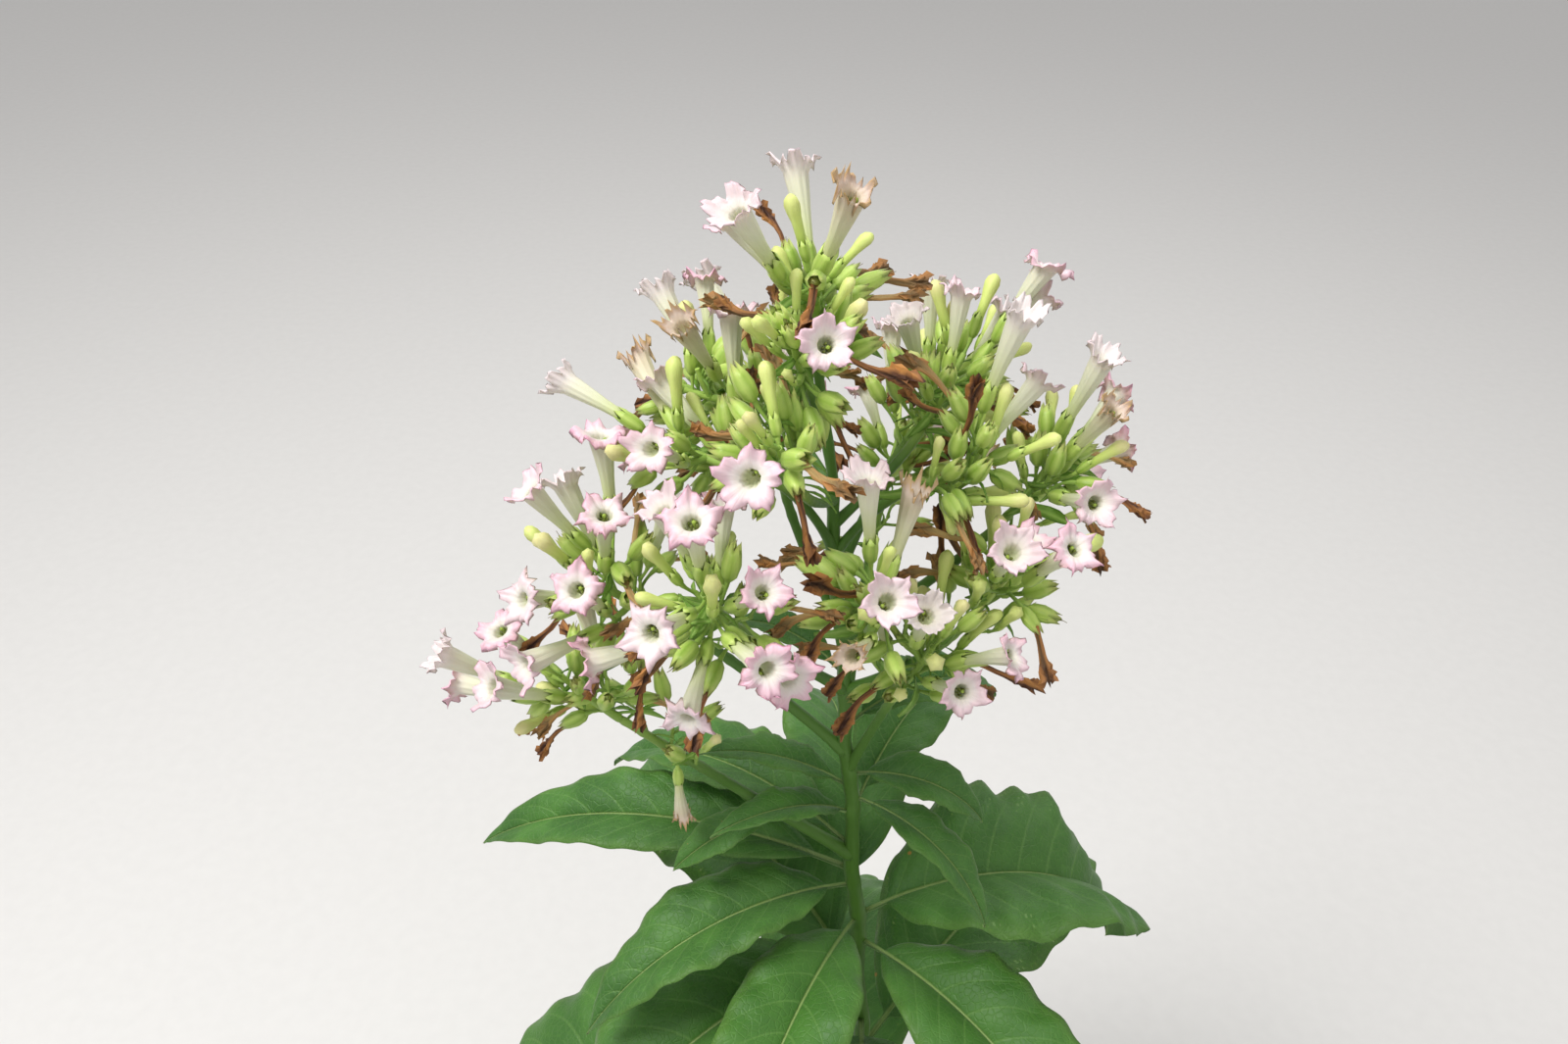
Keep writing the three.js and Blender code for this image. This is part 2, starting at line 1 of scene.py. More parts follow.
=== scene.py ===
"""A tobacco plant in flower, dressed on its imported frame.

The plant grows here by the same seeded rule as its solids: one leaning stem, slender boughs that
end in flower heads, and broad leaves below them. Once the rule's own flowers stand, finer stalks,
flowers, buds and fruit grow on between them. Growth is worked out in millimetres and degrees, +Z
up, an azimuth of 0 along +X and of 90 along +Y, and scaled to metres when a mesh is made.
"""

from __future__ import annotations

import json
import logging
import math
from dataclasses import dataclass, field
from enum import Enum
from typing import Any, ClassVar, Iterable, Sequence

import bpy
import numpy as np
from bpy.types import Material, Mesh, Node, NodeSocket, NodeTree, Object
from mathutils import Matrix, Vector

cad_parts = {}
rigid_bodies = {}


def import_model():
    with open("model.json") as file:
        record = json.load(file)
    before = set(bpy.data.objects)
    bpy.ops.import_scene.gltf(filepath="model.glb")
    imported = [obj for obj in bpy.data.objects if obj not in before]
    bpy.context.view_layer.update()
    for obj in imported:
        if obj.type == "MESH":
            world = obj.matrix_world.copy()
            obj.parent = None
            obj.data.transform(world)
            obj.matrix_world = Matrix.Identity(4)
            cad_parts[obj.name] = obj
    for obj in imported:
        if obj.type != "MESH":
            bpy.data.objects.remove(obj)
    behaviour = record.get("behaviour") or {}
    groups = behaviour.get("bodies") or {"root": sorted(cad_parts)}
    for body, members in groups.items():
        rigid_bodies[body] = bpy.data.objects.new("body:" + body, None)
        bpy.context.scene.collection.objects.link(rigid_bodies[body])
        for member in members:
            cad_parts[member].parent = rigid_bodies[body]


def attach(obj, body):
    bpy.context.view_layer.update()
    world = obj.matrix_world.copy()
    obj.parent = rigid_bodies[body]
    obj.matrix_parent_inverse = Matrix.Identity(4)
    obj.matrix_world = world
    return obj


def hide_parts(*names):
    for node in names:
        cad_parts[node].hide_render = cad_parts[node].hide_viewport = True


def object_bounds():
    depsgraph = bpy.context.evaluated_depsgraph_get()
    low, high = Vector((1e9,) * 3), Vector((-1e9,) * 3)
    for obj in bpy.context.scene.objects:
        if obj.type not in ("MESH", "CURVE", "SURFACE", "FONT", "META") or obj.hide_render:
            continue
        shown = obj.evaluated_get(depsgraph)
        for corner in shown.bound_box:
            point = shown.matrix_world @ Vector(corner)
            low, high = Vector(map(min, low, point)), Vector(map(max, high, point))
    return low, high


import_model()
CAD_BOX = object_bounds()

LOG = logging.getLogger("tobacco_plant")
MM = 0.001
GOLDEN_ANGLE = 137.5
UP = np.array([0.0, 0.0, 1.0])
BODY = "root"
ATLAS = "OFBake"
TILE_MARGIN = 0.03

Points = np.ndarray
Row = tuple[float, ...]
Rows = tuple[Row, ...]
Span = tuple[float, float]

# How far a tube's closed end bulges, as a share of its radius.
CAP_HEIGHT = 0.3


# Small vector and curve helpers


def unit(vector: Points) -> Points:
    """The vector at length one."""
    return vector / np.linalg.norm(vector)


def toward(azimuth: float, rise: float) -> Points:
    """The unit vector at an azimuth and a rise in degrees."""
    a, r = math.radians(azimuth), math.radians(rise)
    return np.array([math.cos(r) * math.cos(a), math.cos(r) * math.sin(a), math.sin(r)])


def square(axis: Points, turn: float) -> Points:
    """A unit vector square to a unit axis.

    Args:
        axis: The axis.
        turn: Degrees about it, from its level side.

    Returns:
        The vector.
    """
    level = np.cross(UP, axis)
    if np.linalg.norm(level) < 0.05:
        level = np.array([0.0, 1.0, 0.0])
    level = unit(level)
    over = unit(np.cross(axis, level))
    return level * math.cos(math.radians(turn)) + over * math.sin(math.radians(turn))


def leaning(axis: Points, angle: float, turn: float) -> Points:
    """The unit vector that leans from an axis by an angle, to the side that a turn gives."""
    tilt = math.radians(angle)
    return unit(axis * math.cos(tilt) + square(axis, turn) * math.sin(tilt))


def frame_on(axis: Points, turn: float) -> Points:
    """Three unit vectors as columns, the last along an axis."""
    side = square(axis, turn)
    return np.stack([side, np.cross(axis, side), axis], axis=1)


def placed(columns: Points, place: Points) -> Matrix:
    """A 4 by 4 matrix from axes and a place.

    Args:
        columns: Its three axes, as columns.
        place: Its place in metres.

    Returns:
        The matrix.
    """
    matrix = np.eye(4)
    matrix[:3, :3] = columns
    matrix[:3, 3] = place
    return Matrix(matrix.tolist())


def smooth(low: float, high: float, value: Points) -> Points:
    """A soft step from 0 at low to 1 at high."""
    share = np.clip((value - low) / (high - low), 0.0, 1.0)
    return share * share * (3.0 - 2.0 * share)


def lerp(low: Any, high: Any, share: Any) -> Any:
    """The value at a share of the way from low to high."""
    return low + (high - low) * share


def ring_angles(sides: int) -> Points:
    """The angles of a ring's points, in radians."""
    return np.arange(sides) * (2 * math.pi / sides)


class Dice:
    """A fixed run of numbers between 0 and 1 from a seed."""

    def __init__(self, seed: int) -> None:
        """Starts the run and passes over its first two numbers.

        Args:
            seed: A whole number.
        """
        self.state = seed & 0xFFFFFFFF
        self.roll()
        self.roll()

    def roll(self) -> float:
        """The next number from 0 up to 1."""
        self.state = (self.state * 1664525 + 1013904223) & 0xFFFFFFFF
        return self.state / 4294967296

    def between(self, low: float, high: float) -> float:
        """The next number, spread from low to high."""
        return low + (high - low) * self.roll()

    def many(self, count: int, low: float, high: float) -> Points:
        """The next several numbers, spread from low to high."""
        return np.array([self.between(low, high) for _ in range(count)])

    def angle(self) -> float:
        """A turn in radians."""
        return self.between(0, 2 * math.pi)


@dataclass(frozen=True)
class Bend:
    """A curve with one bend: it leaves its foot toward the knee and ends at the tip."""

    foot: Points
    knee: Points
    tip: Points

    def at(self, share: float | Points) -> Points:
        """The point, or points, at a share of the curve."""
        s = np.asarray(share, float)[..., None]
        return (1 - s) ** 2 * self.foot + 2 * (1 - s) * s * self.knee + s**2 * self.tip

    def along(self, share: float | Points) -> Points:
        """The direction along the curve.

        Args:
            share: A share of the curve, or several.

        Returns:
            A unit tangent for each share.
        """
        s = np.asarray(share, float)[..., None]
        line = 2 * (1 - s) * (self.knee - self.foot) + 2 * s * (self.tip - self.knee)
        return line / np.linalg.norm(line, axis=-1, keepdims=True)


# Meshes from arrays


def spread_uv(rows: int, steps: int, tile: Row = (0.0, 0.0, 1.0, 1.0)) -> Points:
    """Atlas places for a grid of points, spread evenly.

    Args:
        rows: The grid's rows.
        steps: The faces along a row.
        tile: The left, low, right and high edge of the part of the atlas that it fills.

    Returns:
        The places, rows by points by 2.
    """
    u = np.linspace(tile[0], tile[2], steps + 1)
    v = np.linspace(tile[1], tile[3], rows)
    return np.stack(np.broadcast_arrays(u[None, :], v[:, None]), axis=-1)


def dye(shape: tuple[int, ...], *shares: Any) -> Points:
    """The shares of a finish's three further colours at each point of a grid; on some pieces they hold
    painted shade and painted highlight.
    """
    parts = [np.clip(np.broadcast_to(part, shape), 0, 1) for part in shares]
    return np.stack(parts + [np.zeros(shape)] * (3 - len(parts)), axis=-1)


@dataclass
class Draft:
    """A mesh in the making: grids of faces with atlas places and values at their points."""

    sharp: bool = False
    points: list[Points] = field(default_factory=list)
    corners: list[Points] = field(default_factory=list)
    sizes: list[Points] = field(default_factory=list)
    places: list[Points] = field(default_factory=list)
    values: dict[str, list[Points]] = field(default_factory=dict)

    def add_faces(self, corners: Points, places: Points) -> None:
        """Adds faces that all have the same number of corners.

        Args:
            corners: The numbers of their points, a row for each face.
            places: The atlas place of each corner.
        """
        self.corners.append(corners.ravel())
        self.sizes.append(np.full(len(corners), corners.shape[1]))
        self.places.append(places.reshape(-1, 2))

    def grid(self, points: Points, uv: Points, ends: Sequence[Points] = (), **values: Points) -> Draft:
        """Adds a grid of faces, a closed tube where it has ends.

        Args:
            points: Rows by columns by 3. Seen from outside, columns run to the right of a row
                that runs up.
            uv: Atlas places, one column more than the points have where the grid is a tube.
            ends: The points that close a tube's first and last rows.
            values: Named values for each point, rows by columns, or by 3 more.

        Returns:
            This draft.
        """
        rows, columns = points.shape[:2]
        start = sum(len(part) for part in self.points)
        index = start + np.arange(rows * columns).reshape(rows, columns)
        steps = columns if len(ends) else columns - 1
        i, j = (a.ravel() for a in np.meshgrid(np.arange(rows - 1), np.arange(steps), indexing="ij"))
        k = (j + 1) % columns
        corners = np.stack([index[i, j], index[i, k], index[i + 1, k], index[i + 1, j]], axis=1)
        self.add_faces(corners, np.stack([uv[i, j], uv[i, j + 1], uv[i + 1, j + 1], uv[i + 1, j]], axis=1))
        self.points.append(points.reshape(-1, 3))
        for name, value in values.items():
            self.values.setdefault(name, []).append(value.reshape(rows * columns, -1))
        side = np.arange(steps)
        for row, order, pole in zip((0, -1), (-1, 1), ends):
            pole_index = np.full(steps, start + rows * columns + (row != 0))
            pair = (index[row, side], index[row, (side + 1) % columns])[::order]
            marks = (uv[row, :-1], uv[row, 1:])[::order]
            middle = 0.5 * (marks[0] + marks[1])
            self.add_faces(np.stack([*pair, pole_index], axis=1), np.stack([*marks, middle], axis=1))
            self.points.append(np.asarray(pole, float)[None])
            for name, value in values.items():
                mean = value[row].reshape(columns, -1).mean(axis=0, keepdims=True)
                self.values[name].append(mean)
        return self

    def build(self, name: str) -> Object:
        """Makes the object, in metres.

        Args:
            name: Its name.

        Returns:
            The object, in no collection yet.
        """
        mesh = bpy.data.meshes.new(name)
        points = np.concatenate(self.points) * MM
        mesh.vertices.add(len(points))
        mesh.vertices.foreach_set("co", points.ravel().astype(np.float32))
        corners = np.concatenate(self.corners)
        mesh.loops.add(len(corners))
        mesh.loops.foreach_set("vertex_index", corners.astype(np.int32))
        sizes = np.concatenate(self.sizes)
        mesh.polygons.add(len(sizes))
        mesh.polygons.foreach_set("loop_start", (np.cumsum(sizes) - sizes).astype(np.int32))
        mesh.update(calc_edges=True)
        if self.sharp:
            mesh.shade_flat()
        else:
            mesh.shade_smooth()
        layer = mesh.uv_layers.new(name=ATLAS)
        layer.data.foreach_set("uv", np.concatenate(self.places).ravel().astype(np.float32))
        for key, parts in self.values.items():
            write_values(mesh, key, np.concatenate(parts))
        return bpy.data.objects.new(name, mesh)


def write_values(mesh: Mesh, name: str, values: Points, kind: str = "") -> None:
    """Keeps named values at a mesh's points.

    Args:
        mesh: The mesh.
        name: The values' name.
        values: One or three for each point.
        kind: Their kind, where they are neither plain numbers nor vectors.
    """
    vector = values.ndim > 1 and values.shape[1] == 3
    layer = mesh.attributes.new(name, kind or ("FLOAT_VECTOR" if vector else "FLOAT"), "POINT")
    layer.data.foreach_set("vector" if vector else "value", values.ravel())


def tube(points: Points, radii: Points, uv: Points, **values: Points) -> Draft:
    """A closed tube along a line.

    Args:
        points: The middle of each ring.
        radii: Radii, rings by sides.
        uv: Atlas places.
        values: Values, rings by sides, or by 3 more.

    Returns:
        The mesh.
    """
    tangents = np.gradient(points, axis=0)
    tangents /= np.linalg.norm(tangents, axis=1, keepdims=True)
    side = square(tangents[0], 0)
    sides = []
    for tangent in tangents:
        side = unit(side - tangent * float(side @ tangent))
        sides.append(side)
    third = np.cross(tangents, sides)
    angle = ring_angles(radii.shape[1])[:, None]
    ring = np.array(sides)[:, None] * np.cos(angle) + third[:, None] * np.sin(angle)
    caps = [tangents[row] * CAP_HEIGHT * radii[row].mean() for row in (0, -1)]
    ends = (points[0] - caps[0], points[-1] + caps[1])
    return Draft().grid(points[:, None] + ring * radii[..., None], uv, ends, **values)


# Node trees, written as expressions


def linear(code: str) -> tuple[float, float, float, float]:
    """A colour in linear light from six hexadecimal digits."""
    parts = [int(code[i : i + 2], 16) / 255 for i in (0, 2, 4)]
    return (*(p / 12.92 if p <= 0.04045 else ((p + 0.055) / 1.055) ** 2.4 for p in parts), 1.0)


@dataclass(frozen=True, eq=False)
class Signal:
    """A node's output that does arithmetic by adding nodes to its tree."""

    nodes: Nodes
    socket: NodeSocket

    def math(self, operation: str, first: Any, second: Any = 0.0) -> Signal:
        """One step of arithmetic."""
        return self.nodes.signal("ShaderNodeMath", {0: first, 1: second}, operation=operation)

    def __add__(self, other: Signal | float) -> Signal:
        """The sum."""
        return self.math("ADD", self, other)

    def __sub__(self, other: Signal | float) -> Signal:
        """The difference."""
        return self.math("SUBTRACT", self, other)

    def __rsub__(self, other: float) -> Signal:
        """A number less this."""
        return self.math("SUBTRACT", other, self)

    def __mul__(self, other: Signal | float) -> Signal:
        """The product."""
        return self.math("MULTIPLY", self, other)

    def __lt__(self, other: Signal | float) -> Signal:
        """Whether it is less, as 1 or 0."""
        return self.math("LESS_THAN", self, other)

    def __mod__(self, other: float) -> Signal:
        """What is left over from whole steps of a number."""
        return self.math("FLOORED_MODULO", self, other)

    def __abs__(self) -> Signal:
        """Its size without its sign."""
        return self.math("ABSOLUTE", self)

    __radd__ = __add__
    __rmul__ = __mul__

    def step(self, low: float, high: float) -> Signal:
        """A soft step from 0 at low to 1 at high."""
        ends = {"Value": self, "From Min": low, "From Max": high}
        return self.nodes.signal("ShaderNodeMapRange", ends, interpolation_type="SMOOTHSTEP")

    def parts(self) -> list[Signal]:
        """The three parts of a vector."""
        node = self.nodes.node("ShaderNodeSeparateXYZ", {0: self})
        return [Signal(self.nodes, socket) for socket in node.outputs]


class Nodes:
    """A node tree that grows by calls."""

    def __init__(self, tree: NodeTree) -> None:
        """Works on an empty tree."""
        self.tree = tree

    def node(self, kind: str, inputs: dict | None = None, **settings: Any) -> Node:
        """Adds a node.

        Args:
            kind: The node's type.
            inputs: A value or a signal for each input, by name or number.
            settings: The node's own settings, set first.

        Returns:
            The node.
        """
        node = self.tree.nodes.new(kind)
        for key, value in settings.items():
            setattr(node, key, value)
        for key, value in (inputs or {}).items():
            if isinstance(value, Signal):
                self.tree.links.new(value.socket, node.inputs[key])
            else:
                node.inputs[key].default_value = value
        return node

    def signal(self, kind: str, inputs: dict | None = None, output: int | str = 0, **settings: Any) -> Signal:
        """Adds a node and gives one of its outputs."""
        return Signal(self, self.node(kind, inputs, **settings).outputs[output])

    def join(self, x: Any, y: Any, z: Any = 0.0) -> Signal:
        """A vector from three parts."""
        return self.signal("ShaderNodeCombineXYZ", {0: x, 1: y, 2: z})


class Paint(Nodes):
    """A material in the making, with a Principled shader on its output."""

    def __init__(self, name: str) -> None:
        """Starts the material.

        Args:
            name: Its name.
        """
        self.material = bpy.data.materials.new(name)
        self.material.use_nodes = True
        super().__init__(self.material.node_tree)
        self.tree.nodes.clear()

    def mix(self, share: Signal, first: Any, second: Any) -> Signal:
        """A colour between two colours.

        Args:
            share: The second colour's share.
            first: A signal or six hexadecimal digits.
            second: The same for the other colour.

        Returns:
            The colour.
        """
        first, second = (linear(c) if isinstance(c, str) else c for c in (first, second))
        # A Mix node has its colours on inputs 6 and 7 and on output 2.
        inputs = {0: share, 6: first, 7: second}
        return self.signal("ShaderNodeMix", inputs, output=2, data_type="RGBA")

    def read(self, name: str, output: str = "Vector") -> Signal:
        """A value kept at the mesh's points."""
        return self.signal("ShaderNodeAttribute", output=output, attribute_name=name)

    def noise(self, vector: Signal, scale: float, detail: float = 2.0) -> Signal:
        """Soft noise from 0 to 1."""
        return self.signal("ShaderNodeTexNoise", {"Vector": vector, "Scale": scale, "Detail": detail})

    def cells(self, vector: Signal, scale: float, feature: str) -> Signal:
        """The distance to the edges, or else to the middles, of a net of cells."""
        inputs = {"Vector": vector, "Scale": scale}
        return self.signal("ShaderNodeTexVoronoi", inputs, "Distance", feature=feature)

    def finish(
        self, colour: Signal, rough: Any, height: Signal, depth: float, plain: dict
    ) -> Material:
        """Puts the shader on the output.

        Args:
            colour: Its base colour.
            rough: Its roughness.
            height: The height of its bumps, from 0 to 1.
            depth: Their depth in millimetres.
            plain: Plain values of the shader's other inputs.

        Returns:
            The material.
        """
        bump = self.signal("ShaderNodeBump", {"Height": height, "Distance": depth * MM})
        inputs = {"Base Color": colour, "Roughness": rough, "Normal": bump} | plain
        shader = self.signal("ShaderNodeBsdfPrincipled", inputs)
        self.node("ShaderNodeOutputMaterial", {"Surface": shader})
        return self.material


class Group(Nodes):
    """A Geometry Nodes group with named inputs, whose result becomes a plain mesh."""

    MARKS: ClassVar[tuple[str, ...]] = ()

    def __init__(self, name: str, inputs: dict[str, str]) -> None:
        """Makes the group's inputs.

        Args:
            name: The group's name.
            inputs: The name and kind of socket of each input.
        """
        super().__init__(bpy.data.node_groups.new(name, "GeometryNodeTree"))
        for key, kind in {"Geometry": "Geometry", **inputs, "Finish": "Material"}.items():
            self.tree.interface.new_socket(key, in_out="INPUT", socket_type=f"NodeSocket{kind}")
        self.tree.interface.new_socket("Geometry", in_out="OUTPUT", socket_type="NodeSocketGeometry")
        self.taken = self.node("NodeGroupInput")

    def __getitem__(self, name: str) -> Signal:
        """One of the group's inputs."""
        return Signal(self, self.taken.outputs[name])

    def kept(self, name: str, kind: str = "FLOAT") -> Signal:
        """A named value of the geometry."""
        node = self.node("GeometryNodeInputNamedAttribute", {"Name": name}, data_type=kind)
        return Signal(self, next(s for s in node.outputs if s.enabled and s.name == "Attribute"))

    def keep(self, geometry: Signal, name: str, value: Signal, **settings: str) -> Signal:
        """The geometry with a named value kept on it."""
        inputs = {"Geometry": geometry, "Name": name, "Value": value}
        return self.signal("GeometryNodeStoreNamedAttribute", inputs, **settings)

    def give(self, geometry: Signal) -> None:
        """Realizes the geometry, gives it its material and ends the group.

        Args:
            geometry: All that has grown.
        """
        real = self.signal("GeometryNodeRealizeInstances", {"Geometry": geometry})
        dressed = self.signal("GeometryNodeSetMaterial", {"Geometry": real, "Material": self["Finish"]})
        self.node("NodeGroupOutput", {"Geometry": dressed})

    def run(self, name: str, mesh: Mesh, values: dict[str, Any]) -> Object:
        """Runs the group on a mesh.

        Args:
            name: The name of the new piece.
            mesh: The group's geometry.
            values: Its other inputs.

        Returns:
            The piece, a plain mesh.
        """
        holder = bpy.data.objects.new(f"{name}_holder", mesh)
        bpy.context.scene.collection.objects.link(holder)
        modifier = holder.modifiers.new("grow", "NODES")
        modifier.node_group = self.tree
        for item in self.tree.interface.items_tree:
            if item.in_out == "INPUT" and item.name in values:
                modifier[item.identifier] = values[item.name]
        graph = bpy.context.evaluated_depsgraph_get()
        made = bpy.data.meshes.new_from_object(
            holder.evaluated_get(graph), preserve_all_data_layers=True, depsgraph=graph
        )
        made.name = name
        for key in self.MARKS:
            if key in made.attributes:
                made.attributes.remove(made.attributes[key])
        bpy.data.objects.remove(holder)
        return bpy.data.objects.new(name, made)


class ShapeStand(Group):
    """Stands shapes of a collection on points, each turned, sized and picked by its point."""

    MARKS = ("turn", "size", "pick")
    SPREAD = 0.05
    SEED = 7

    def __init__(self) -> None:
        """Builds the group once for every kind of shape."""
        super().__init__("shape_stand", {"Shapes": "Collection", "Size Spread": "Float", "Seed": "Int"})
        inputs = {"Collection": self["Shapes"], "Separate Children": True, "Reset Children": True}
        shapes = self.signal("GeometryNodeCollectionInfo", inputs)
        spread = {2: 1.0 - self["Size Spread"], 3: 1.0 + self["Size Spread"], "Seed": self["Seed"]}
        size = self.signal("FunctionNodeRandomValue", spread, output=1) * self.kept("size")
        inputs = {"Points": self["Geometry"], "Instance": shapes, "Pick Instance": True}
        inputs |= {"Instance Index": self.kept("pick", "INT"), "Scale": size}
        inputs["Rotation"] = self.kept("turn", "QUATERNION")
        self.give(self.signal("GeometryNodeInstanceOnPoints", inputs))

    def stand(self, shape: SmallShape, places: Sequence[Place]) -> Object:
        """Stands copies of a shape's variants on their places.

        Args:
            shape: The shape.
            places: Where its copies stand.

        Returns:
            All the copies as one piece.
        """
        name = shape.NAME
        finish = shape.FINISH.make()
        collection = bpy.data.collections.new(f"{name}_shapes")
        for i in range(shape.count()):
            model = shape.draft(i).build(f"{name}_{i:02d}")
            model.data.materials.append(finish)
            collection.objects.link(model)
        mesh = bpy.data.meshes.new(f"{name}_points")
        mesh.from_pydata([place.point * MM for place in places], [], [])
        turns = [tuple(placed(frame_on(p.axis, p.turn), UP).to_quaternion()) for p in places]
        write_values(mesh, "turn", np.array(turns), "QUATERNION")
        write_values(mesh, "size", np.array([place.size for place in places]))
        write_values(mesh, "pick", np.array([place.pick for place in places]), "INT")
        inputs = {"Shapes": collection, "Size Spread": self.SPREAD, "Seed": self.SEED}
        piece = self.run(name, mesh, {**inputs, "Finish": finish})
        for model in list(collection.objects):
            bpy.data.objects.remove(model)
        bpy.data.collections.remove(collection)
        return piece


class StalkSkin(Group):
    """Gives lines of points a round skin, as thick as each point says."""

    MARKS = ("girth", "run", "round", "bay")
    BAYS = 3
    SIDES = 7
    FILL = 0.9
    MARGIN = 0.05

    def __init__(self) -> None:
        """Builds the group."""
        super().__init__("stalk_skin", {"Sides": "Int"})
        share = self.signal("GeometryNodeSplineParameter")
        line = self.signal("GeometryNodeMeshToCurve", {"Mesh": self["Geometry"]})
        line = self.keep(line, "run", share)
        ring = self.signal("GeometryNodeCurvePrimitiveCircle", {"Resolution": self["Sides"], "Radius": 1.0})
        ring = self.keep(ring, "round", share)
        inputs = {"Curve": line, "Profile Curve": ring, "Scale": self.kept("girth"), "Fill Caps": True}
        skin = self.signal("GeometryNodeCurveToMesh", inputs)
        across = (self.kept("round") * self.FILL + self.kept("bay") + self.MARGIN) * (1 / self.BAYS)
        place = self.join(across, self.kept("run") * self.FILL + self.MARGIN)
        self.give(self.keep(skin, ATLAS, place, domain="CORNER", data_type="FLOAT2"))

    def skin(self, name: str, lines: Sequence[StalkLine], finish: Material) -> Object:
        """Skins lines.

        Args:
            name: The new piece's name.
            lines: The lines.
            finish: The piece's material.

        Returns:
            All the stalks as one piece.
        """
        mesh = bpy.data.meshes.new(f"{name}_lines")
        starts = np.cumsum([0] + [len(line.points) for line in lines])
        edges = [(i, i + 1) for a, b in zip(starts[:-1], starts[1:]) for i in range(a, b - 1)]
        mesh.from_pydata(np.concatenate([line.points for line in lines]) * MM, edges, [])
        write_values(mesh, "girth", np.concatenate([line.radii for line in lines]) * MM)
        write_values(mesh, "dye", np.concatenate([line.colour for line in lines]))
        write_values(mesh, "bay", np.repeat([float(line.bay) for line in lines], np.diff(starts)))
        piece = self.run(name, mesh, {"Sides": self.SIDES, "Finish": finish})
        piece.data.shade_smooth()
        return piece


@dataclass(frozen=True)
class Place:
    """Where one copy of a shape stands, and which one."""

    point: Points
    axis: Points
    turn: float
    size: float
    pick: int


@dataclass(frozen=True)
class StalkLine:
    """A stalk's middle points, its radii and dye there, and its bay in the atlas."""

    points: Points
    radii: Points
    colour: Points
    bay: int


def own(piece: Object, replaced: Sequence[str]) -> None:
    """Joins a piece to the frame and reports it.

    Args:
        piece: The piece.
        replaced: The names of the solids that it stands for.
    """
    bpy.context.scene.collection.objects.link(piece)
    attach(piece, BODY)
    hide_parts(*replaced)
    LOG.info("%s: %d faces", piece.name, len(piece.data.polygons))


# Finishes


@dataclass(frozen=True)
class DyedAndPaintedLight:
    """A finish of one base colour and three more, which the mesh's colour shares bring in one by one; on
    calyces, capsules and withered flowers some of these are painted shade and painted highlight.
    """

    name: str
    base: str
    first: str
    second: str
    third: str
    roughness: float
    streak: float = 0.1
    lines: float = 60.0
    plain: dict = field(default_factory=dict)

    STREAK_ROWS = 9.0
    MOTTLE = 40.0
    ROUGH_SPREAD = 0.12
    RELIEF = 0.25

    def make(self) -> Material:
        """Builds the material, with fine streaks along the shape.

        Returns:
            The material.
        """
        paint = Paint(self.name)
        shares = paint.read("dye").parts()
        u, v, _ = paint.signal("ShaderNodeUVMap", uv_map=ATLAS).parts()
        streaks = paint.noise(paint.join(u * (4 * self.lines), v * self.STREAK_ROWS), 1.0)
        mottle = paint.noise(paint.join(u * self.MOTTLE, v * self.MOTTLE), 1.0)
        colour: Any = self.base
        for share, further in zip(shares, (self.first, self.second, self.third)):
            colour = paint.mix(share, colour, further)
        shade = (streaks - 0.5) * (2 * self.streak) + (mottle - 0.5) * self.streak + 1.0
        inputs = {0: colour, 1: paint.join(shade, shade, shade)}
        colour = paint.signal("ShaderNodeVectorMath", inputs, operation="MULTIPLY")
        rough = (mottle - 0.5) * self.ROUGH_SPREAD + self.roughness
        return paint.finish(colour, rough, streaks, self.RELIEF, self.plain)


SOFT = {"Subsurface Weight": 0.22, "Subsurface Scale": 0.002, "Subsurface Radius": (1.0, 0.85, 0.7)}
GREEN = {"Subsurface Weight": 0.12, "Subsurface Scale": 0.0015, "Subsurface Radius": (0.6, 1.0, 0.3)}
SHEEN = {"Sheen Weight": 0.05, "Sheen Roughness": 0.5, "Specular IOR Level": 0.4}

STEM_SKIN = DyedAndPaintedLight("stem", "4c7426", "737f42", "8a7448", "86a548", 0.46, 0.1, 16, SHEEN)
STALK = DyedAndPaintedLight("flower_stalk", "86a844", "64882e", "b1cc64", "6f4f2c", 0.45, 0.1, 20, SHEEN)
PETAL = DyedAndPaintedLight("petal", "e3dcd6", "dd86ab", "c6d57f", "b8925a", 0.5, 0.03, 90, SOFT)
HEART = DyedAndPaintedLight("stamens", "9fb84a", "6f7a34", "d3db86", "4a3320", 0.6, 0.1, 20)
# The calyx's first further colour is a random darker tone for each variant, and painted shade toward the
# cup's foot and between its teeth.
CALYX = DyedAndPaintedLight("calyx", "b4cd60", "86a63c", "cfe084", "97863f", 0.45, 0.1, 40, GREEN | SHEEN)
BUD = DyedAndPaintedLight("bud", "d6e284", "ecc4b4", "a9c552", "a98b50", 0.48, 0.06, 40, SOFT)
# The capsule's first further colour is a painted highlight on its swellings.
CAPSULE = DyedAndPaintedLight("capsule", "93b44a", "aac862", "75893a", "7a5a34", 0.4, 0.1, 30, GREEN)
# The withered flowers' first further colour is painted shade in their creases, and their last a painted
# highlight on their ridges.
WITHERED = DyedAndPaintedLight("withered", "72421c", "3a1c09", "c4a76c", "aa743a", 0.7, 0.25, 50)
BRACT = DyedAndPaintedLight("bract", "779e3a", "a0c064", "4e7826", "8a6a3a", 0.55, 0.12, 30, GREEN | SHEEN)


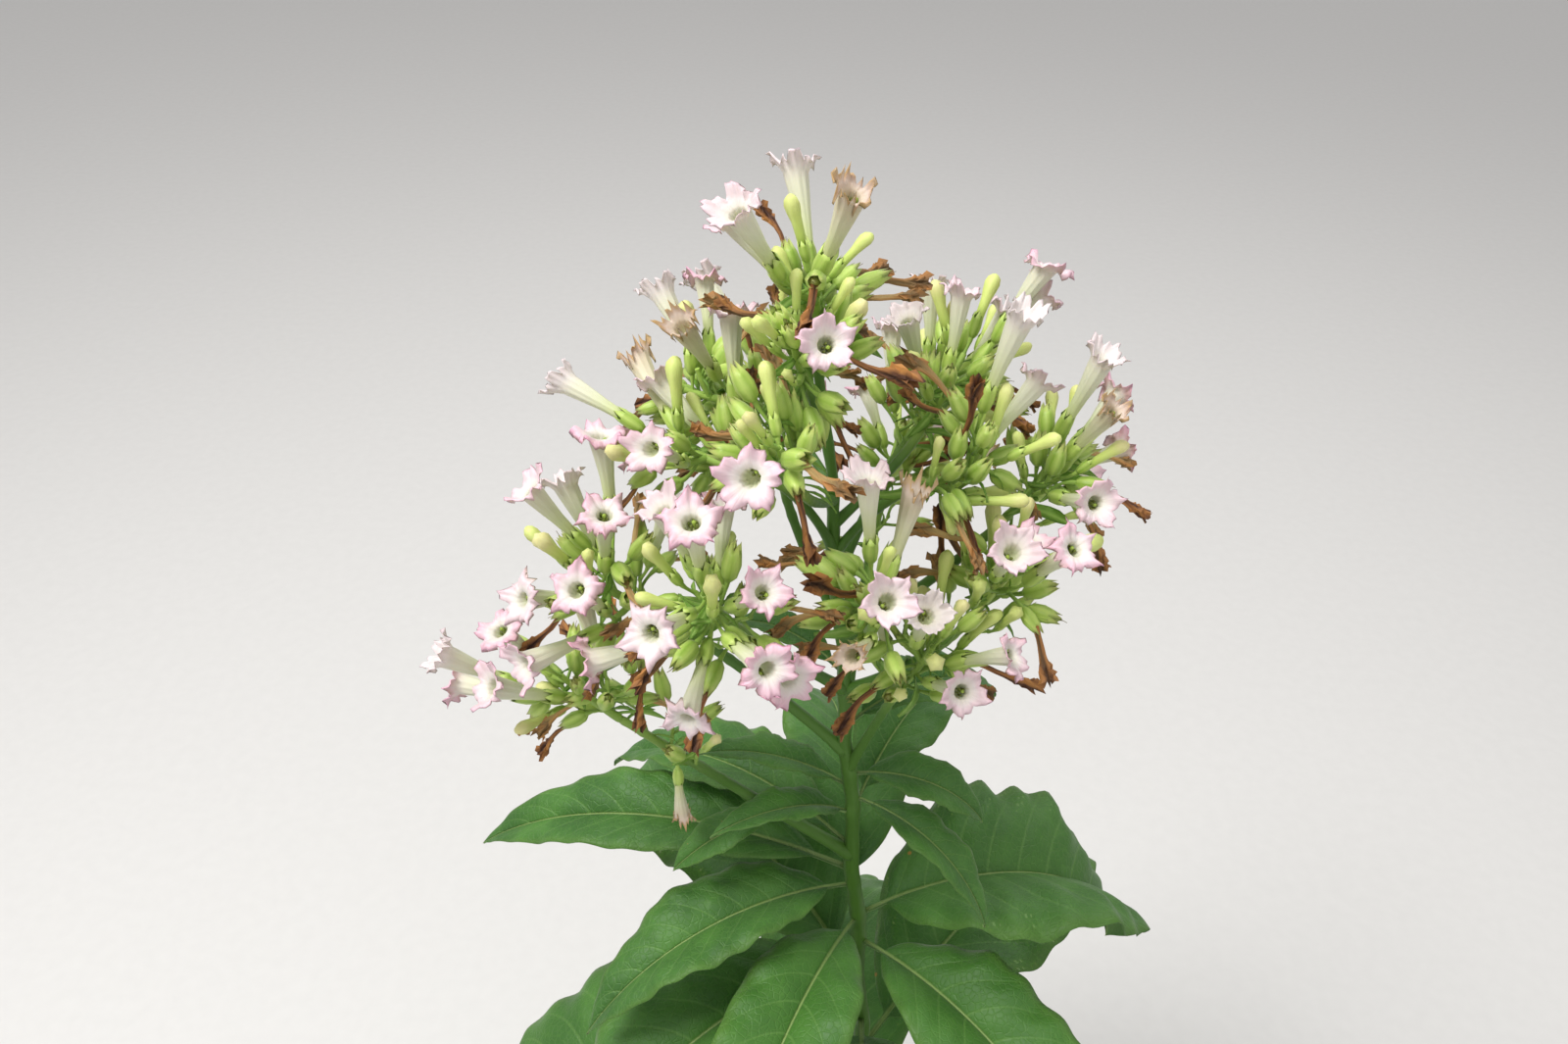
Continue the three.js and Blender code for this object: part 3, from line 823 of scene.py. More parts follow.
@dataclass(frozen=True)
class LeafFinish:
    """A leaf's blade: deep green above and paler below, with pale veins and a few spots."""

    name: str = "leaf"
    deep: str = "335f1e"
    fresh: str = "3e6c25"
    light: str = "49782c"
    edge: str = "698236"
    below: str = "63894a"
    net: str = "5c8838"
    vein: str = "759d50"
    midrib: str = "98ae68"
    spot: str = "b57f38"
    spot_spacing: float = 22.0
    spotted: float = 0.44
    roughness: float = 0.46
    relief: float = 0.35

    def make(self) -> Material:
        """Builds the material from the places that the blade keeps, in millimetres.

        Returns:
            The material.
        """
        paint = Paint(self.name)
        rib, vein, out = paint.read("blade").parts()
        across, along, upper = paint.read("place").parts()
        place = paint.join(across, along, upper * 40.0)
        under = upper < 0.5
        mottle = paint.noise(place, 0.03, 3.0)
        grain = paint.noise(place, 0.6)
        cells = paint.cells(place, 0.24, "DISTANCE_TO_EDGE").step(0.0, 0.12)
        colour = paint.mix(paint.read("tone", "Fac"), self.deep, self.fresh)
        colour = paint.mix(mottle.step(0.35, 0.7), colour, self.light)
        colour = paint.mix(out.step(0.75, 1.0) * 0.25, colour, self.edge)
        colour = paint.mix(under, colour, self.below)
        colour = paint.mix((1.0 - cells) * 0.22, colour, self.net)
        lines = abs(vein % 1.0 * 2.0 - 1.0).step(0.86, 0.985) * (1.0 - out * 0.75)
        colour = paint.mix(lines * 0.32, colour, self.vein)
        middle = 1.0 - rib.step(0.45, 1.15)
        colour = paint.mix(middle * 0.65, colour, self.midrib)
        spots = 1.0 - paint.cells(place, 1 / self.spot_spacing, "F1").step(0.04, 0.085)
        spots = spots * paint.noise(place, 0.016).step(1.0 - self.spotted, 1.06 - self.spotted)
        colour = paint.mix(spots * 0.8, colour, self.spot)
        height = cells * 0.5 + grain * 0.25 - lines * 0.7 - middle
        rough = grain * 0.14 + self.roughness + under * 0.12
        return paint.finish(colour, rough, height, self.relief, GREEN | SHEEN)


# The limbs: stem, boughs and leaves

FIT = 0.3
LEAF_FIT = 0.4


@dataclass(frozen=True)
class Stem:
    """The one main stem: it leans, steps from leaf node to leaf node and flares at the ground."""

    top: float = 1259.0
    lean: float = 95.0
    lean_power: float = 1.5
    zigzag: float = 1.6
    node_spacing: float = 62.0
    foot_radius: float = 11.5
    tip_radius: float = 2.4
    taper: float = 0.8
    flare_width: float = 6.5
    flare_height: float = 34.0
    ridges: int = 7
    scar_low: float = 64.0
    scar_high: float = 400.0
    scar_spacing: float = 41.0
    node_reach: float = 6.5
    swelling: Span = (0.5, 0.6)
    rows: int = 486
    sides: int = 40
    seed: int = 77

    def point(self, height: float | Points) -> Points:
        """The middle of the stem.

        Args:
            height: A height, or several.

        Returns:
            A point for each height.
        """
        h = np.asarray(height, float)
        step = np.floor(h / self.node_spacing)
        share = h / self.node_spacing - step
        side = np.where(step % 2 == 0, 2 * share - 1, 1 - 2 * share)
        zigzag = self.zigzag * np.minimum(1.0, h / self.node_spacing) * side
        lean = self.lean * (h / self.top) ** self.lean_power
        return np.stack([zigzag - lean, 0.6 * zigzag, h], axis=-1)

    def radius(self, height: float | Points) -> Points:
        """The radius of the stem.

        Args:
            height: A height, or several.

        Returns:
            A radius for each height.
        """
        h = np.asarray(height, float)
        taper = lerp(self.foot_radius, self.tip_radius, (h / self.top) ** self.taper)
        return taper + self.flare_width * np.exp(-2.0 * (h / self.flare_height) ** 1.4)

    def heights(self) -> list[float]:
        """The heights where the stem bends: through the root flare, then at each leaf node."""
        nodes = np.arange(self.node_spacing, self.top, self.node_spacing)
        return [0.0, 0.35 * self.flare_height, self.flare_height, *nodes, self.top]

    def draft(self, nodes: Sequence[tuple[float, float]]) -> Draft:
        """The stem's skin.

        Args:
            nodes: The height and azimuth of each leaf and bough that it carries.

        Returns:
            A mesh with soft ridges, a swelling at each node and scars where low leaves have gone.
        """
        height = np.linspace(0, self.top, self.rows)
        rise = height[:, None]
        angle = ring_angles(self.sides)
        radius = self.radius(height)[:, None] * (1 + 0.02 * np.cos(self.ridges * angle + 0.004 * rise))
        dice = Dice(self.seed)
        scar = np.zeros(radius.shape)
        bare = np.arange(self.scar_low, self.scar_high, self.scar_spacing)
        scars = [(low, GOLDEN_ANGLE * i) for i, low in enumerate(bare)]
        for foot, azimuth in [*nodes, *scars]:
            up = (rise - foot) / self.node_reach
            around = np.cos(angle - math.radians(azimuth))
            swelling = dice.between(*self.swelling) * np.clip(around, 0, 1) ** 2
            radius = radius + 0.35 * np.exp(-(up**2)) + swelling * np.exp(-((up + 0.6) ** 2))
            if foot in bare:
                mark = np.exp(-((up / 0.5) ** 4)) * smooth(0.55, 0.8, around)
                ledge = 1.1 * np.exp(-(((up + 1.1) / 0.6) ** 2)) * smooth(0.4, 0.9, around)
                radius = radius + ledge - 0.5 * mark
                scar = np.maximum(scar, mark)
        radius = radius * (1 + 0.12 * np.exp(-rise / 20) * np.cos(5 * angle + 1.1))
        middle = self.point(height)
        ring = np.stack([radius * np.cos(angle), radius * np.sin(angle), 0 * radius], axis=-1)
        colour = dye(radius.shape, 1 - smooth(60, 420, rise), scar)
        ends = (middle[0], middle[-1] + UP)
        return Draft().grid(middle[:, None] + ring, spread_uv(*radius.shape), ends, dye=colour)


STEM = Stem()


@dataclass(frozen=True)
class Bough:
    """A bough's foot and the straight line to its tip, and the stalk of its flower head."""

    name: str
    foot: float
    azimuth: float
    rise: float
    length: float
    head_azimuth: float
    head_rise: float
    head_length: float
    seed: int

    TIP_RADIUS = 2.2
    BARE_SHARE = 0.52
    NODE_SPACING = 0.09
    STEPS = 6
    SIDES = 16
    FEWEST_ROWS = 24
    ROW_SPACING = 4.0
    SWAY = 0.6
    COLLAR = 0.3
    SWELLING = 0.35

    @property
    def radius(self) -> float:
        """The radius at the foot, thicker on a longer bough."""
        return 1.6 + 0.0125 * self.length

    def curve(self) -> Bend:
        """The line from the stem's middle into the flower head's stalk.

        Returns:
            The curve.
        """
        foot = STEM.point(self.foot)
        tip = foot + toward(self.azimuth, self.rise) * self.length
        aim = toward(self.head_azimuth, self.head_rise)
        return Bend(foot, tip - aim * (0.35 * self.length), tip)

    def draft(self, seed: int) -> Draft:
        """The skin, from inside the stem, through its collar, to the flower head.

        Args:
            seed: The seed of its small differences.

        Returns:
            The mesh.
        """
        curve = self.curve()
        dice = Dice(seed)
        rows, sides = self.FEWEST_ROWS + int(self.length / self.ROW_SPACING), self.SIDES
        inside = float(STEM.radius(self.foot))
        share = np.linspace(0.35 * inside / self.length, 1.0, rows)
        sway = square(unit(curve.tip - curve.foot), dice.between(0, 360)) * self.SWAY
        points = curve.at(share) + sway * np.sin(share * math.pi)[:, None]
        out = np.clip(share * self.length - inside, 0, None)
        radius = lerp(self.radius, self.TIP_RADIUS, share) * (1 + self.COLLAR * np.exp(-out / 6))
        for node in np.arange(self.BARE_SHARE, 1.0, self.NODE_SPACING):
            radius = radius + self.SWELLING * np.exp(-(((share - node) * self.length / 2.6) ** 2))
        ridges = 1 + 0.03 * np.cos(5 * ring_angles(sides) + dice.angle())
        colour = dye((rows, sides), 0, 0, smooth(0.5, 1.0, share)[:, None])
        return tube(points, radius[:, None] * ridges, spread_uv(rows, sides), dye=colour)


@dataclass(frozen=True)
class LeafLine:
    """Points along a leaf's midrib, with the directions and half widths of its blade there."""

    share: Points
    point: Points
    tangent: Points
    level: Points
    half: Points

    @property
    def over(self) -> Points:
        """The directions that the blade's upper face looks in."""
        return np.cross(self.tangent, self.level)


@dataclass(frozen=True)
class Leaf:
    """A leaf's foot, its midrib's course and its blade."""

    name: str
    foot: float
    azimuth: float
    length: float
    width: float
    rise: float
    droop: float
    sweep: float
    roll: float

    STATIONS = 9
    PETIOLE = 0.07
    FOLD = 0.26
    ARCH = 0.13
    EDGE_WAVE = 0.09
    WAVES = 3.4
    DROOP_POWER = 1.3
    VEINS = 11
    INSIDE = 2.6
    SIDE_STEPS = 16
    STEP_LENGTH = 3.0
    STEPS = (30, 96)
    PUCKERS = ((0.31, 0.22, 0.4), (-0.27, 0.36, 2.1), (0.45, -0.12, 4.4))

    @property
    def thickness(self) -> float:
        """The solid's thickness at the midrib."""
        return max(1.8, self.length / 85)

    @property
    def start(self) -> Points:
        """Where the midrib starts.

        Returns:
            A point clear of the stem's skin.
        """
        back = 0.6 * self.thickness * self.FOLD * math.sin(math.radians(self.rise))
        out = float(STEM.radius(self.foot)) + LEAF_FIT + back
        return STEM.point(self.foot) + toward(self.azimuth, 0) * out

    def half_width(self, share: Points) -> Points:
        """Half the leaf's width: a bare stalk, then widest before the middle, then a long point.

        Args:
            share: Shares of its length.

        Returns:
            A half width for each share.
        """
        blade = np.clip((share - self.PETIOLE) / (1 - self.PETIOLE), 0.0, 1.0)
        outline = blade**0.78 * (1 - blade) ** 1.05
        fullest = 0.426**0.78 * 0.574**1.05
        return np.maximum(0.6 * self.thickness * (1 - share), 0.5 * self.width * outline / fullest)

    def line(self, count: int) -> LeafLine:
        """The midrib from its start to the tip.

        Args:
            count: How many steps it has.

        Returns:
            The midrib.
        """
        point = self.start
        points, tangents, levels = [], [], []
        for i in range(count + 1):
            share = i / count
            turned = self.azimuth + self.sweep * share
            tangent = toward(turned, self.rise - self.droop * share**self.DROOP_POWER)
            level = toward(turned + 90, 0)
            roll = math.radians(self.roll * share)
            levels.append(level * math.cos(roll) + np.cross(tangent, level) * math.sin(roll))
            points.append(point)
            tangents.append(tangent)
            middle = (i + 0.5) / count
            rise = self.rise - self.droop * middle**self.DROOP_POWER
            point = point + toward(self.azimuth + self.sweep * middle, rise) * (self.length / count)
        share = np.arange(count + 1) / count
        half = self.half_width(share)
        return LeafLine(share, np.array(points), np.array(tangents), np.array(levels), half)

    def draft(self, seed: int) -> Draft:
        """A thin blade with its raised midrib, puckers between side veins and a wavy edge.

        Args:
            seed: The seed of its small differences.

        Returns:
            The mesh.
        """
        dice = Dice(seed)
        line = self.line(int(np.clip(self.length / self.STEP_LENGTH, *self.STEPS)))
        point = np.concatenate([[line.point[0] - line.tangent[0] * self.INSIDE], line.point])
        tangent, level, over = (np.concatenate([a[:1], a]) for a in (line.tangent, line.level, line.over))
        t = np.concatenate([[0.0], line.share])[:, None]
        half = np.concatenate([line.half[:1], line.half])[:, None]
        steps = (np.arange(1, self.SIDE_STEPS + 1) / self.SIDE_STEPS) ** 1.6
        u = np.concatenate([-steps[::-1], [0.0], steps])
        right, out = u > 0, np.abs(u)
        blade = smooth(0.05, 0.12, t)
        half = half * (1 + blade * (0.02 * np.sin(23 * t + 7 * right) + 0.012 * np.sin(57 * t + 3 * right)))
        long_wave = np.sin(2 * math.pi * (self.WAVES * t + np.where(right, 0.1, -0.6)))
        short_wave = np.sin(2 * math.pi * (9.7 * t + np.where(right, 0.3, 0.8)) + dice.between(0, 6))
        ripple = blade * (self.EDGE_WAVE * long_wave + 0.05 * short_wave)
        vein = self.VEINS * (t - 0.16 * out**1.3)
        bay = 4 * out * (1 - out)
        net = sum(np.sin(a * u * half + b * t * self.length + c) for a, b, c in self.PUCKERS)
        lift = half * (self.FOLD * out + self.ARCH * bay + ripple * out**2)
        lift = lift + blade * (half * 0.035 * np.sin(math.pi * vein) ** 2 * bay + 0.16 * net * out)
        rib = lerp(0.62 * self.thickness, 0.35, t**0.7)
        near = out * half / rib
        midrib = rib * np.exp(-(near**2))
        side_vein = np.exp(-((((vein + 0.5) % 1 - 0.5) / 0.05) ** 2)) * (1 - out)
        top = lift - 0.4 * midrib
        body = 0.3 + 0.35 * (1 - out) + 1.5 * midrib + 0.35 * blade * side_vein
        across = point[:, None] + level[:, None] * (u * half)[..., None]
        upper = across + over[:, None] * top[..., None]
        lower = across + over[:, None] * (top - body)[..., None]

        def both(first: Points, second: Points) -> Points:
            """One row round the blade: over its upper face, then back over the lower."""
            return np.concatenate([first[:, ::-1], second], axis=1)

        marks = np.stack([near, vein, out + 0 * near], axis=-1)
        place = [np.stack([u * half, t * self.length + 0 * near, side + 0 * near], -1) for side in (1.0, 0.0)]
        width = np.broadcast_to((u + 1) / 2, near.shape)
        uv = both(*(np.stack([width, low + 0.46 * t + 0 * width], -1) for low in (0.02, 0.52)))
        uv = np.concatenate([uv, uv[:, :1]], axis=1)
        values = {"blade": both(marks, marks), "place": both(*place)}
        values["tone"] = np.full(values["blade"].shape[:2], dice.roll())
        ends = (point[0] - tangent[0], point[-1] + tangent[-1] * 0.5)
        return Draft().grid(both(upper, lower), uv, ends, **values)


BOUGHS = tuple(
    Bough(*row)
    for row in (
        ("left_low", 880, 191, 46, 207, 190, 47, 47, 4738),
        ("right_low", 962, 303, 69, 119, 294, 61, 48, 819),
        ("left", 978, 191, 48, 173, 217, 46, 53, 5802),
        ("back_low", 1000, 78, 50, 135, 70, 48, 44, 47),
        ("right", 1030, 342, 48, 93, 1, 60, 47, 6480),
        ("front_left", 1030, 225, 50, 144, 246, 52, 38, 2546),
        ("right_far", 1070, 14, 41, 126, 43, 30, 34, 218),
        ("back_left", 1080, 123, 48, 109, 97, 32, 50, 4069),
        ("front", 1100, 284, 29, 70, 264, 61, 37, 9535),
        ("back_right", 1110, 55, 39, 103, 52, 14, 47, 3877),
        ("right_mid", 1130, 355, 50, 64, 0, 22, 38, 8251),
        ("left_upper", 1134, 198, 53, 68, 164, 5, 50, 40),
        ("right_upper", 1150, 35, 37, 68, 57, 27, 49, 2481),
        ("front_upper", 1166, 250, 38, 70, 233, 59, 34, 288),
        ("left_back", 1170, 136, 21, 68, 177, 4, 35, 4416),
        ("front_top", 1200, 231, 66, 51, 255, 47, 37, 106),
    )
)

UPPER_LEAVES = tuple(
    Leaf(*row)
    for row in (
        ("right", 818, 8, 244, 142, 32, 120, 5, -16),
        ("low_left", 785, 217, 290, 96, 12, 80, -4, 8),
        ("front_left", 815, 243, 235, 78, 22, 92, 6, -10),
        ("front_right", 790, 316, 250, 88, 18, 86, -4, 14),
        ("back", 830, 92, 240, 92, 34, 96, 8, 6),
        ("left_down", 852, 203, 205, 66, 16, 70, 10, 12),
        ("left_long", 868, 168, 282, 62, 15, 62, 2, -16),
        ("back_left", 890, 146, 215, 62, 20, 76, 8, 10),
        ("arching_left", 926, 212, 104, 30, 42, 62, -6, 10),
        ("arching_right", 938, 330, 118, 32, 6, 74, -14, -12),
        ("back_right", 925, 62, 160, 58, 28, 84, -6, 0),
        ("right_small", 960, 352, 92, 34, 14, 74, -4, 10),
        ("upper_right", 1002, 30, 120, 42, 26, 86, -8, -8),
        ("upper_left", 950, 178, 98, 30, 34, 56, 0, 14),
        ("upper_back", 1045, 150, 76, 24, 30, 66, 4, 0),
    )
)


@dataclass(frozen=True)
class LowLeaves:
    """The broad leaves of the lower stem, each a golden angle on from the one above it."""

    count: int = 8
    top: float = 742.0
    spacing: float = 47.0
    azimuth: float = 130.0
    length: float = 318.0
    gain: float = 9.0
    breadth: float = 0.44
    rise: float = 30.0
    droop: float = 92.0
    more_droop: float = 3.0
    sweep: float = 7.0
    roll: float = 9.0

    def leaves(self) -> list[Leaf]:
        """The leaves.

        Returns:
            The leaves from the highest down.
        """
        leaves = []
        for i in range(self.count):
            length = self.length + self.gain * min(i, self.count + 1 - i)
            side = 1 if i % 2 == 0 else -1
            foot, azimuth = self.top - self.spacing * i, self.azimuth + GOLDEN_ANGLE * i
            course = (self.rise, self.droop + self.more_droop * i, self.sweep * side, -self.roll * side)
            leaves.append(Leaf(f"low_{i + 1}", foot, azimuth, length, self.breadth * length, *course))
        return leaves


LEAVES = (*UPPER_LEAVES, *LowLeaves().leaves())


@dataclass(frozen=True)
class BoughLeaf(Leaf):
    """A small leaf that hangs from a bough, its foot given as a share of that bough."""

    bough: Bough = BOUGHS[0]

    @property
    def start(self) -> Points:
        """Where the midrib starts, just under the bough's skin."""
        return self.bough.curve().at(self.foot) - UP * (0.7 * self.bough.radius)


SPOTTED_LEAF = BoughLeaf("spotted", 0.3, 200, 74, 27, -2, 44, 6, -12)


# The flower heads, grown by the same rule as the solids


class Kind(Enum):
    """What stands at the end of a short stalk."""

    FLOWER = "flower"
    WITHERED = "withered"
    CAPSULE = "capsule"
    BUD = "bud"


@dataclass(frozen=True)
class OrganSizes:
    """What an organ measures, and how it holds itself."""

    pedicel: float
    length: float
    lift: float
    spread: float
    room: float


ORGANS = {
    Kind.FLOWER: OrganSizes(pedicel=11, length=52, lift=0.35, spread=0.45, room=17.5),
    Kind.WITHERED: OrganSizes(pedicel=12, length=43, lift=-0.55, spread=0.15, room=6),
    Kind.CAPSULE: OrganSizes(pedicel=13, length=20, lift=0.3, spread=0.2, room=6.5),
    Kind.BUD: OrganSizes(pedicel=8, length=36, lift=0.45, spread=0.1, room=4.5),
}

# A straight piece of what grows: its two ends, its room and whether it is a stalk.
Piece = tuple[Points, Points, float, bool]


@dataclass(frozen=True)
class Organ:
    """One flower, withered flower, capsule or bud on its own short stalk."""

    kind: Kind
    root: Points
    out: Points
    elbow: Points
    aim: Points
    length: float
    twist: float
    spent: bool = False

    STALK_ROOM = 1.9
    BODY_ROOM = 4.8
    CALYX_LENGTH = 16.0

    @property
    def limp(self) -> Points:
        """The line that a withered flower hangs along."""
        return unit(self.aim - 0.5 * UP)

    @property
    def end(self) -> Points:
        """The far end.

        Returns:
            A point, which hangs limp below the calyx on a withered flower.
        """
        if self.kind is not Kind.WITHERED:
            return self.elbow + self.aim * self.length
        lip = self.elbow + self.aim * self.CALYX_LENGTH
        return lip + self.limp * (self.length - self.CALYX_LENGTH)

    def pieces(self, closeness: float) -> list[Piece]:
        """What stands for it when its room is tested.

        Args:
            closeness: The share of its full room that it takes.

        Returns:
            Its straight pieces.
        """
        return [
            (self.root, self.elbow, self.STALK_ROOM, True),
            (self.elbow, self.end, self.BODY_ROOM * closeness, False),
            (self.end, self.end, ORGANS[self.kind].room * closeness, False),
        ]

    def pedicel(self) -> StalkLine:
        """Its own short stalk, which enters its calyx along its aim.

        Returns:
            The stalk's line.
        """
        half = 0.5 * float(np.linalg.norm(self.elbow - self.root))
        share = np.linspace(0, 1, 6)
        points = Bend(self.root, self.elbow - self.aim * half, self.elbow + self.aim * 0.8).at(share)
        radii = 0.85 + 0.65 * smooth(0.5, 1, share) + 0.5 * np.exp(-share * 9)
        old = self.kind in (Kind.CAPSULE, Kind.WITHERED)
        colour = dye(share.shape, 0.5 * old, 0.8 * share * (1 - 0.5 * old))
        return StalkLine(points, radii, colour, 1 + old)


@dataclass(frozen=True)
class Stalk:
    """A stalk of a flower head, and where its organs stand."""

    curve: Bend
    sites: int
    start: float
    radius: float

    STEPS = 2

    def line(self) -> StalkLine:
        """Its middle line, with small swellings where organs stand.

        Returns:
            The line.
        """
        share = np.linspace(0, 1, 12)
        radii = self.radius * lerp(1.15, 0.75, share) + 0.25 * np.cos(share * 40) ** 2
        colour = dye(share.shape, 0.25 * (1 - share), 0.7 * share)
        return StalkLine(self.curve.at(share), radii, colour, 0)


def pieces_of(curve: Bend, steps: int, room: float) -> list[Piece]:
    """The straight pieces that stand for a curve when its room is tested."""
    points = curve.at(np.arange(steps + 1) / steps)
    return [(a, b, room, True) for a, b in zip(points[:-1], points[1:])]


@dataclass(frozen=True)
class Clearance:
    """How close one more piece may stand to what grows already, in its own head and to the rest.

    It also says how short a side stalk may be, and whether organs stay where the solids reach.
    """

    own_share: float = 0.85
    fit: float = FIT
    closeness: float = 1.0
    shortest: float = 0.38 / 0.55
    bounded: bool = False


@dataclass
class Thicket:
    """What already grows, as straight pieces with room round them."""

    lines: list[Points] = field(default_factory=list)
    facts: list[tuple[float, int, bool]] = field(default_factory=list)
    owners: dict[str, int] = field(default_factory=dict)
    arrays: tuple[Points, Points] | None = None

    def add(self, pieces: Iterable[Piece], owner: str) -> None:
        """Adds what grows.

        Args:
            pieces: Its straight pieces.
            owner: What they belong to.
        """
        number = self.owners.setdefault(owner, len(self.owners))
        for a, b, room, stalk in pieces:
            self.lines.append(np.concatenate([a, b]))
            self.facts.append((room, number, stalk))
        self.arrays = None

    def takes(self, pieces: Sequence[Piece], owner: str, clearance: Clearance) -> bool:
        """Adds straight pieces if they stay clear of all that grows.

        Args:
            pieces: The pieces.
            owner: The flower head that they belong to.
            clearance: How close they may stand.

        Returns:
            True if they were added.
        """
        if self.arrays is None:
            self.arrays = (np.array(self.lines), np.array(self.facts))
        lines, facts = self.arrays
        same = facts[:, 1] == self.owners.get(owner, -1)
        for start, end, room, stalk in pieces:
            gap = self.apart(start, end, lines[:, :3], lines[:, 3:])
            both = room + facts[:, 0]
            reach = np.where(same, clearance.own_share * both, both + clearance.fit)
            ignored = same & ((facts[:, 2] > 0) | stalk)
            if np.any((gap <= reach) & ~ignored):
                return False
        self.add(pieces, owner)
        return True

    @staticmethod
    def apart(start: Points, end: Points, a: Points, b: Points) -> Points:
        """How far one straight piece is from many.

        Args:
            start: One end of it.
            end: Its other end.
            a: One end of each of the many.
            b: Their other ends.

        Returns:
            The least distance to each.
        """
        u = end - start
        v = b - a
        w = start - a
        uu = max(float(u @ u), 1e-9)
        uv = v @ u
        vv = np.maximum((v * v).sum(1), 1e-9)
        uw = w @ u
        vw = (v * w).sum(1)
        slant = uu * vv - uv * uv
        crossing = slant > 1e-9 * uu * vv
        safe = np.where(crossing, slant, 1.0)
        s = np.where(crossing, np.clip((uv * vw - vv * uw) / safe, 0, 1), 0.0)
        t = np.clip((uv * s + vw) / vv, 0, 1)
        s = np.clip((uv * t - uw) / uu, 0, 1)
        return np.linalg.norm(start + u * s[:, None] - a - v * t[:, None], axis=1)


@dataclass(frozen=True)
class Growth:
    """One round of growth: what grows already, a run of numbers and the room to keep."""

    thicket: Thicket
    dice: Dice
    clearance: Clearance


@dataclass
class FlowerHead:
    """One flower head: a stalk, side stalks by the golden angle, and organs in a spiral."""

    name: str
    carrier: Bend
    azimuth: float
    rise: float
    length: float
    seed: int
    stalks: list[Stalk] = field(default_factory=list)
    organs: list[Organ] = field(default_factory=list)
    twigs: list[Stalk] = field(default_factory=list)
    turn: float = 0.0

    TRIES = 8
    SIDE_STALKS = 2
    SIDE_START = 0.24
    SIDE_STEP = 0.34
    SIDE_ANGLE = 51.5
    TIP_RADIUS = 1.8
    SIDE_SHIFT = 0.05
    SIDE_LENGTH = 0.55
    TIP_TILT = (8, 30)
    SIDE_TILT = (42, 74)
    # Past each share of a stalk, the kinds that may stand there, with their chances added up.
    CHANCES = (
        (0.85, ((0.5, Kind.BUD), (1.0, Kind.FLOWER))),
        (0.4, ((0.56, Kind.FLOWER), (0.8, Kind.WITHERED), (1.0, Kind.CAPSULE))),
        (-1.0, ((0.5, Kind.CAPSULE), (0.88, Kind.WITHERED), (1.0, Kind.FLOWER))),
    )
    FINE = Clearance(own_share=0.62, fit=-1.6, closeness=0.72, shortest=0.55, bounded=True)
    FINE_ON_MAIN = (0.1, 0.7)
    FINE_ON_STALK = (0.2, 0.6)
    FINE_LAST = 0.97
    FINE_MIDDLE = 0.62
    FINE_FRUIT = 0.7
    FINE_TWIG = 26.0
    FINE_SPACING = 21.0
    FINE_RADIUS = 1.1
    FINE_KINDS = (
        (Kind.CAPSULE,) * 4 + (Kind.WITHERED,) * 7 + (Kind.BUD,) * 4 + (Kind.FLOWER,) * 5
    )

    @property
    def owner(self) -> str:
        """The name that its pieces are kept under."""
        return f"head_{self.name}"

    @property
    def node(self) -> str:
        """The name of its solid."""
        return f"flower_head_{self.name}"

    @property
    def main(self) -> Bend:
        """The main stalk, which turns a little upwards at its half.

        Returns:
            Its curve.
        """
        aim = toward(self.azimuth, self.rise)
        foot = self.carrier.tip + aim * FIT
        knee = foot + aim * (0.5 * self.length)
        return Bend(foot, knee, knee + unit(aim + 0.25 * UP) * (0.5 * self.length))

    @classmethod
    def kind_at(cls, share: float, draw: float) -> Kind:
        """What stands on a stalk: fruit at its foot, flowers, then buds at its tip.

        Args:
            share: Where on the stalk.
            draw: A number by chance, from 0 to 1.

        Returns:
            The kind of organ.
        """
        chances = next(chances for low, chances in cls.CHANCES if share > low)
        return next(kind for chance, kind in chances if draw < chance)

    def side_stalk(self, growth: Growth, on: Bend, share: float, length: float) -> Bend | None:
        """Grows one side stalk where there is room for it.

        Args:
            growth: The round of growth.
            on: The curve that carries it.
            share: Where on that curve.
            length: The most that it measures.

        Returns:
            Its curve, or none after several draws.
        """
        for _ in range(self.TRIES):
            self.turn += GOLDEN_ANGLE
            foot = on.at(share)
            out = leaning(on.along(share), self.SIDE_ANGLE, self.turn)
            half = 0.5 * growth.dice.between(growth.clearance.shortest * length, length)
            knee = foot + out * half
            curve = Bend(foot, knee, knee + unit(out + 0.4 * UP) * half)
            pieces = pieces_of(curve, Stalk.STEPS, Organ.STALK_ROOM)
            if growth.thicket.takes(pieces, self.owner, growth.clearance):
                return curve
        return None

    def place(self, kind: Kind, curve: Bend, share: float, dice: Dice) -> Organ:
        """Where one organ stands.

        Args:
            kind: What it is.
            curve: The curve that carries it.
            share: Where on that curve.
            dice: The head's run of numbers.

        Returns:
            The organ.
        """
        sizes = ORGANS[kind]
        root = curve.at(share)
        tilt = dice.between(*(self.TIP_TILT if share > 0.95 else self.SIDE_TILT))
        out = leaning(curve.along(share), tilt, self.turn)
        elbow = root + out * (sizes.pedicel * dice.between(0.85, 1.25))
        away = unit(elbow - self.main.foot)
        aim = unit(out + UP * sizes.lift + away * sizes.spread)
        length = sizes.length * dice.between(0.9, 1.06)
        return Organ(kind, root, out, elbow, aim, length, dice.between(0, 72))

    def add_organ(self, growth: Growth, curve: Bend, share: float, kind: Kind) -> bool:
        """Grows one organ where there is room for it.

        Args:
            growth: The round of growth.
            curve: The curve that carries it.
            share: Where on that curve.
            kind: What it is.

        Returns:
            Whether it grew.
        """
        for _ in range(self.TRIES):
            self.turn += GOLDEN_ANGLE
            organ = self.place(kind, curve, share, growth.dice)
            if growth.clearance.bounded and not self.within_reach(organ):
                continue
            pieces = organ.pieces(growth.clearance.closeness)
            if growth.thicket.takes(pieces, self.owner, growth.clearance):
                self.organs.append(organ)
                return True
        return False

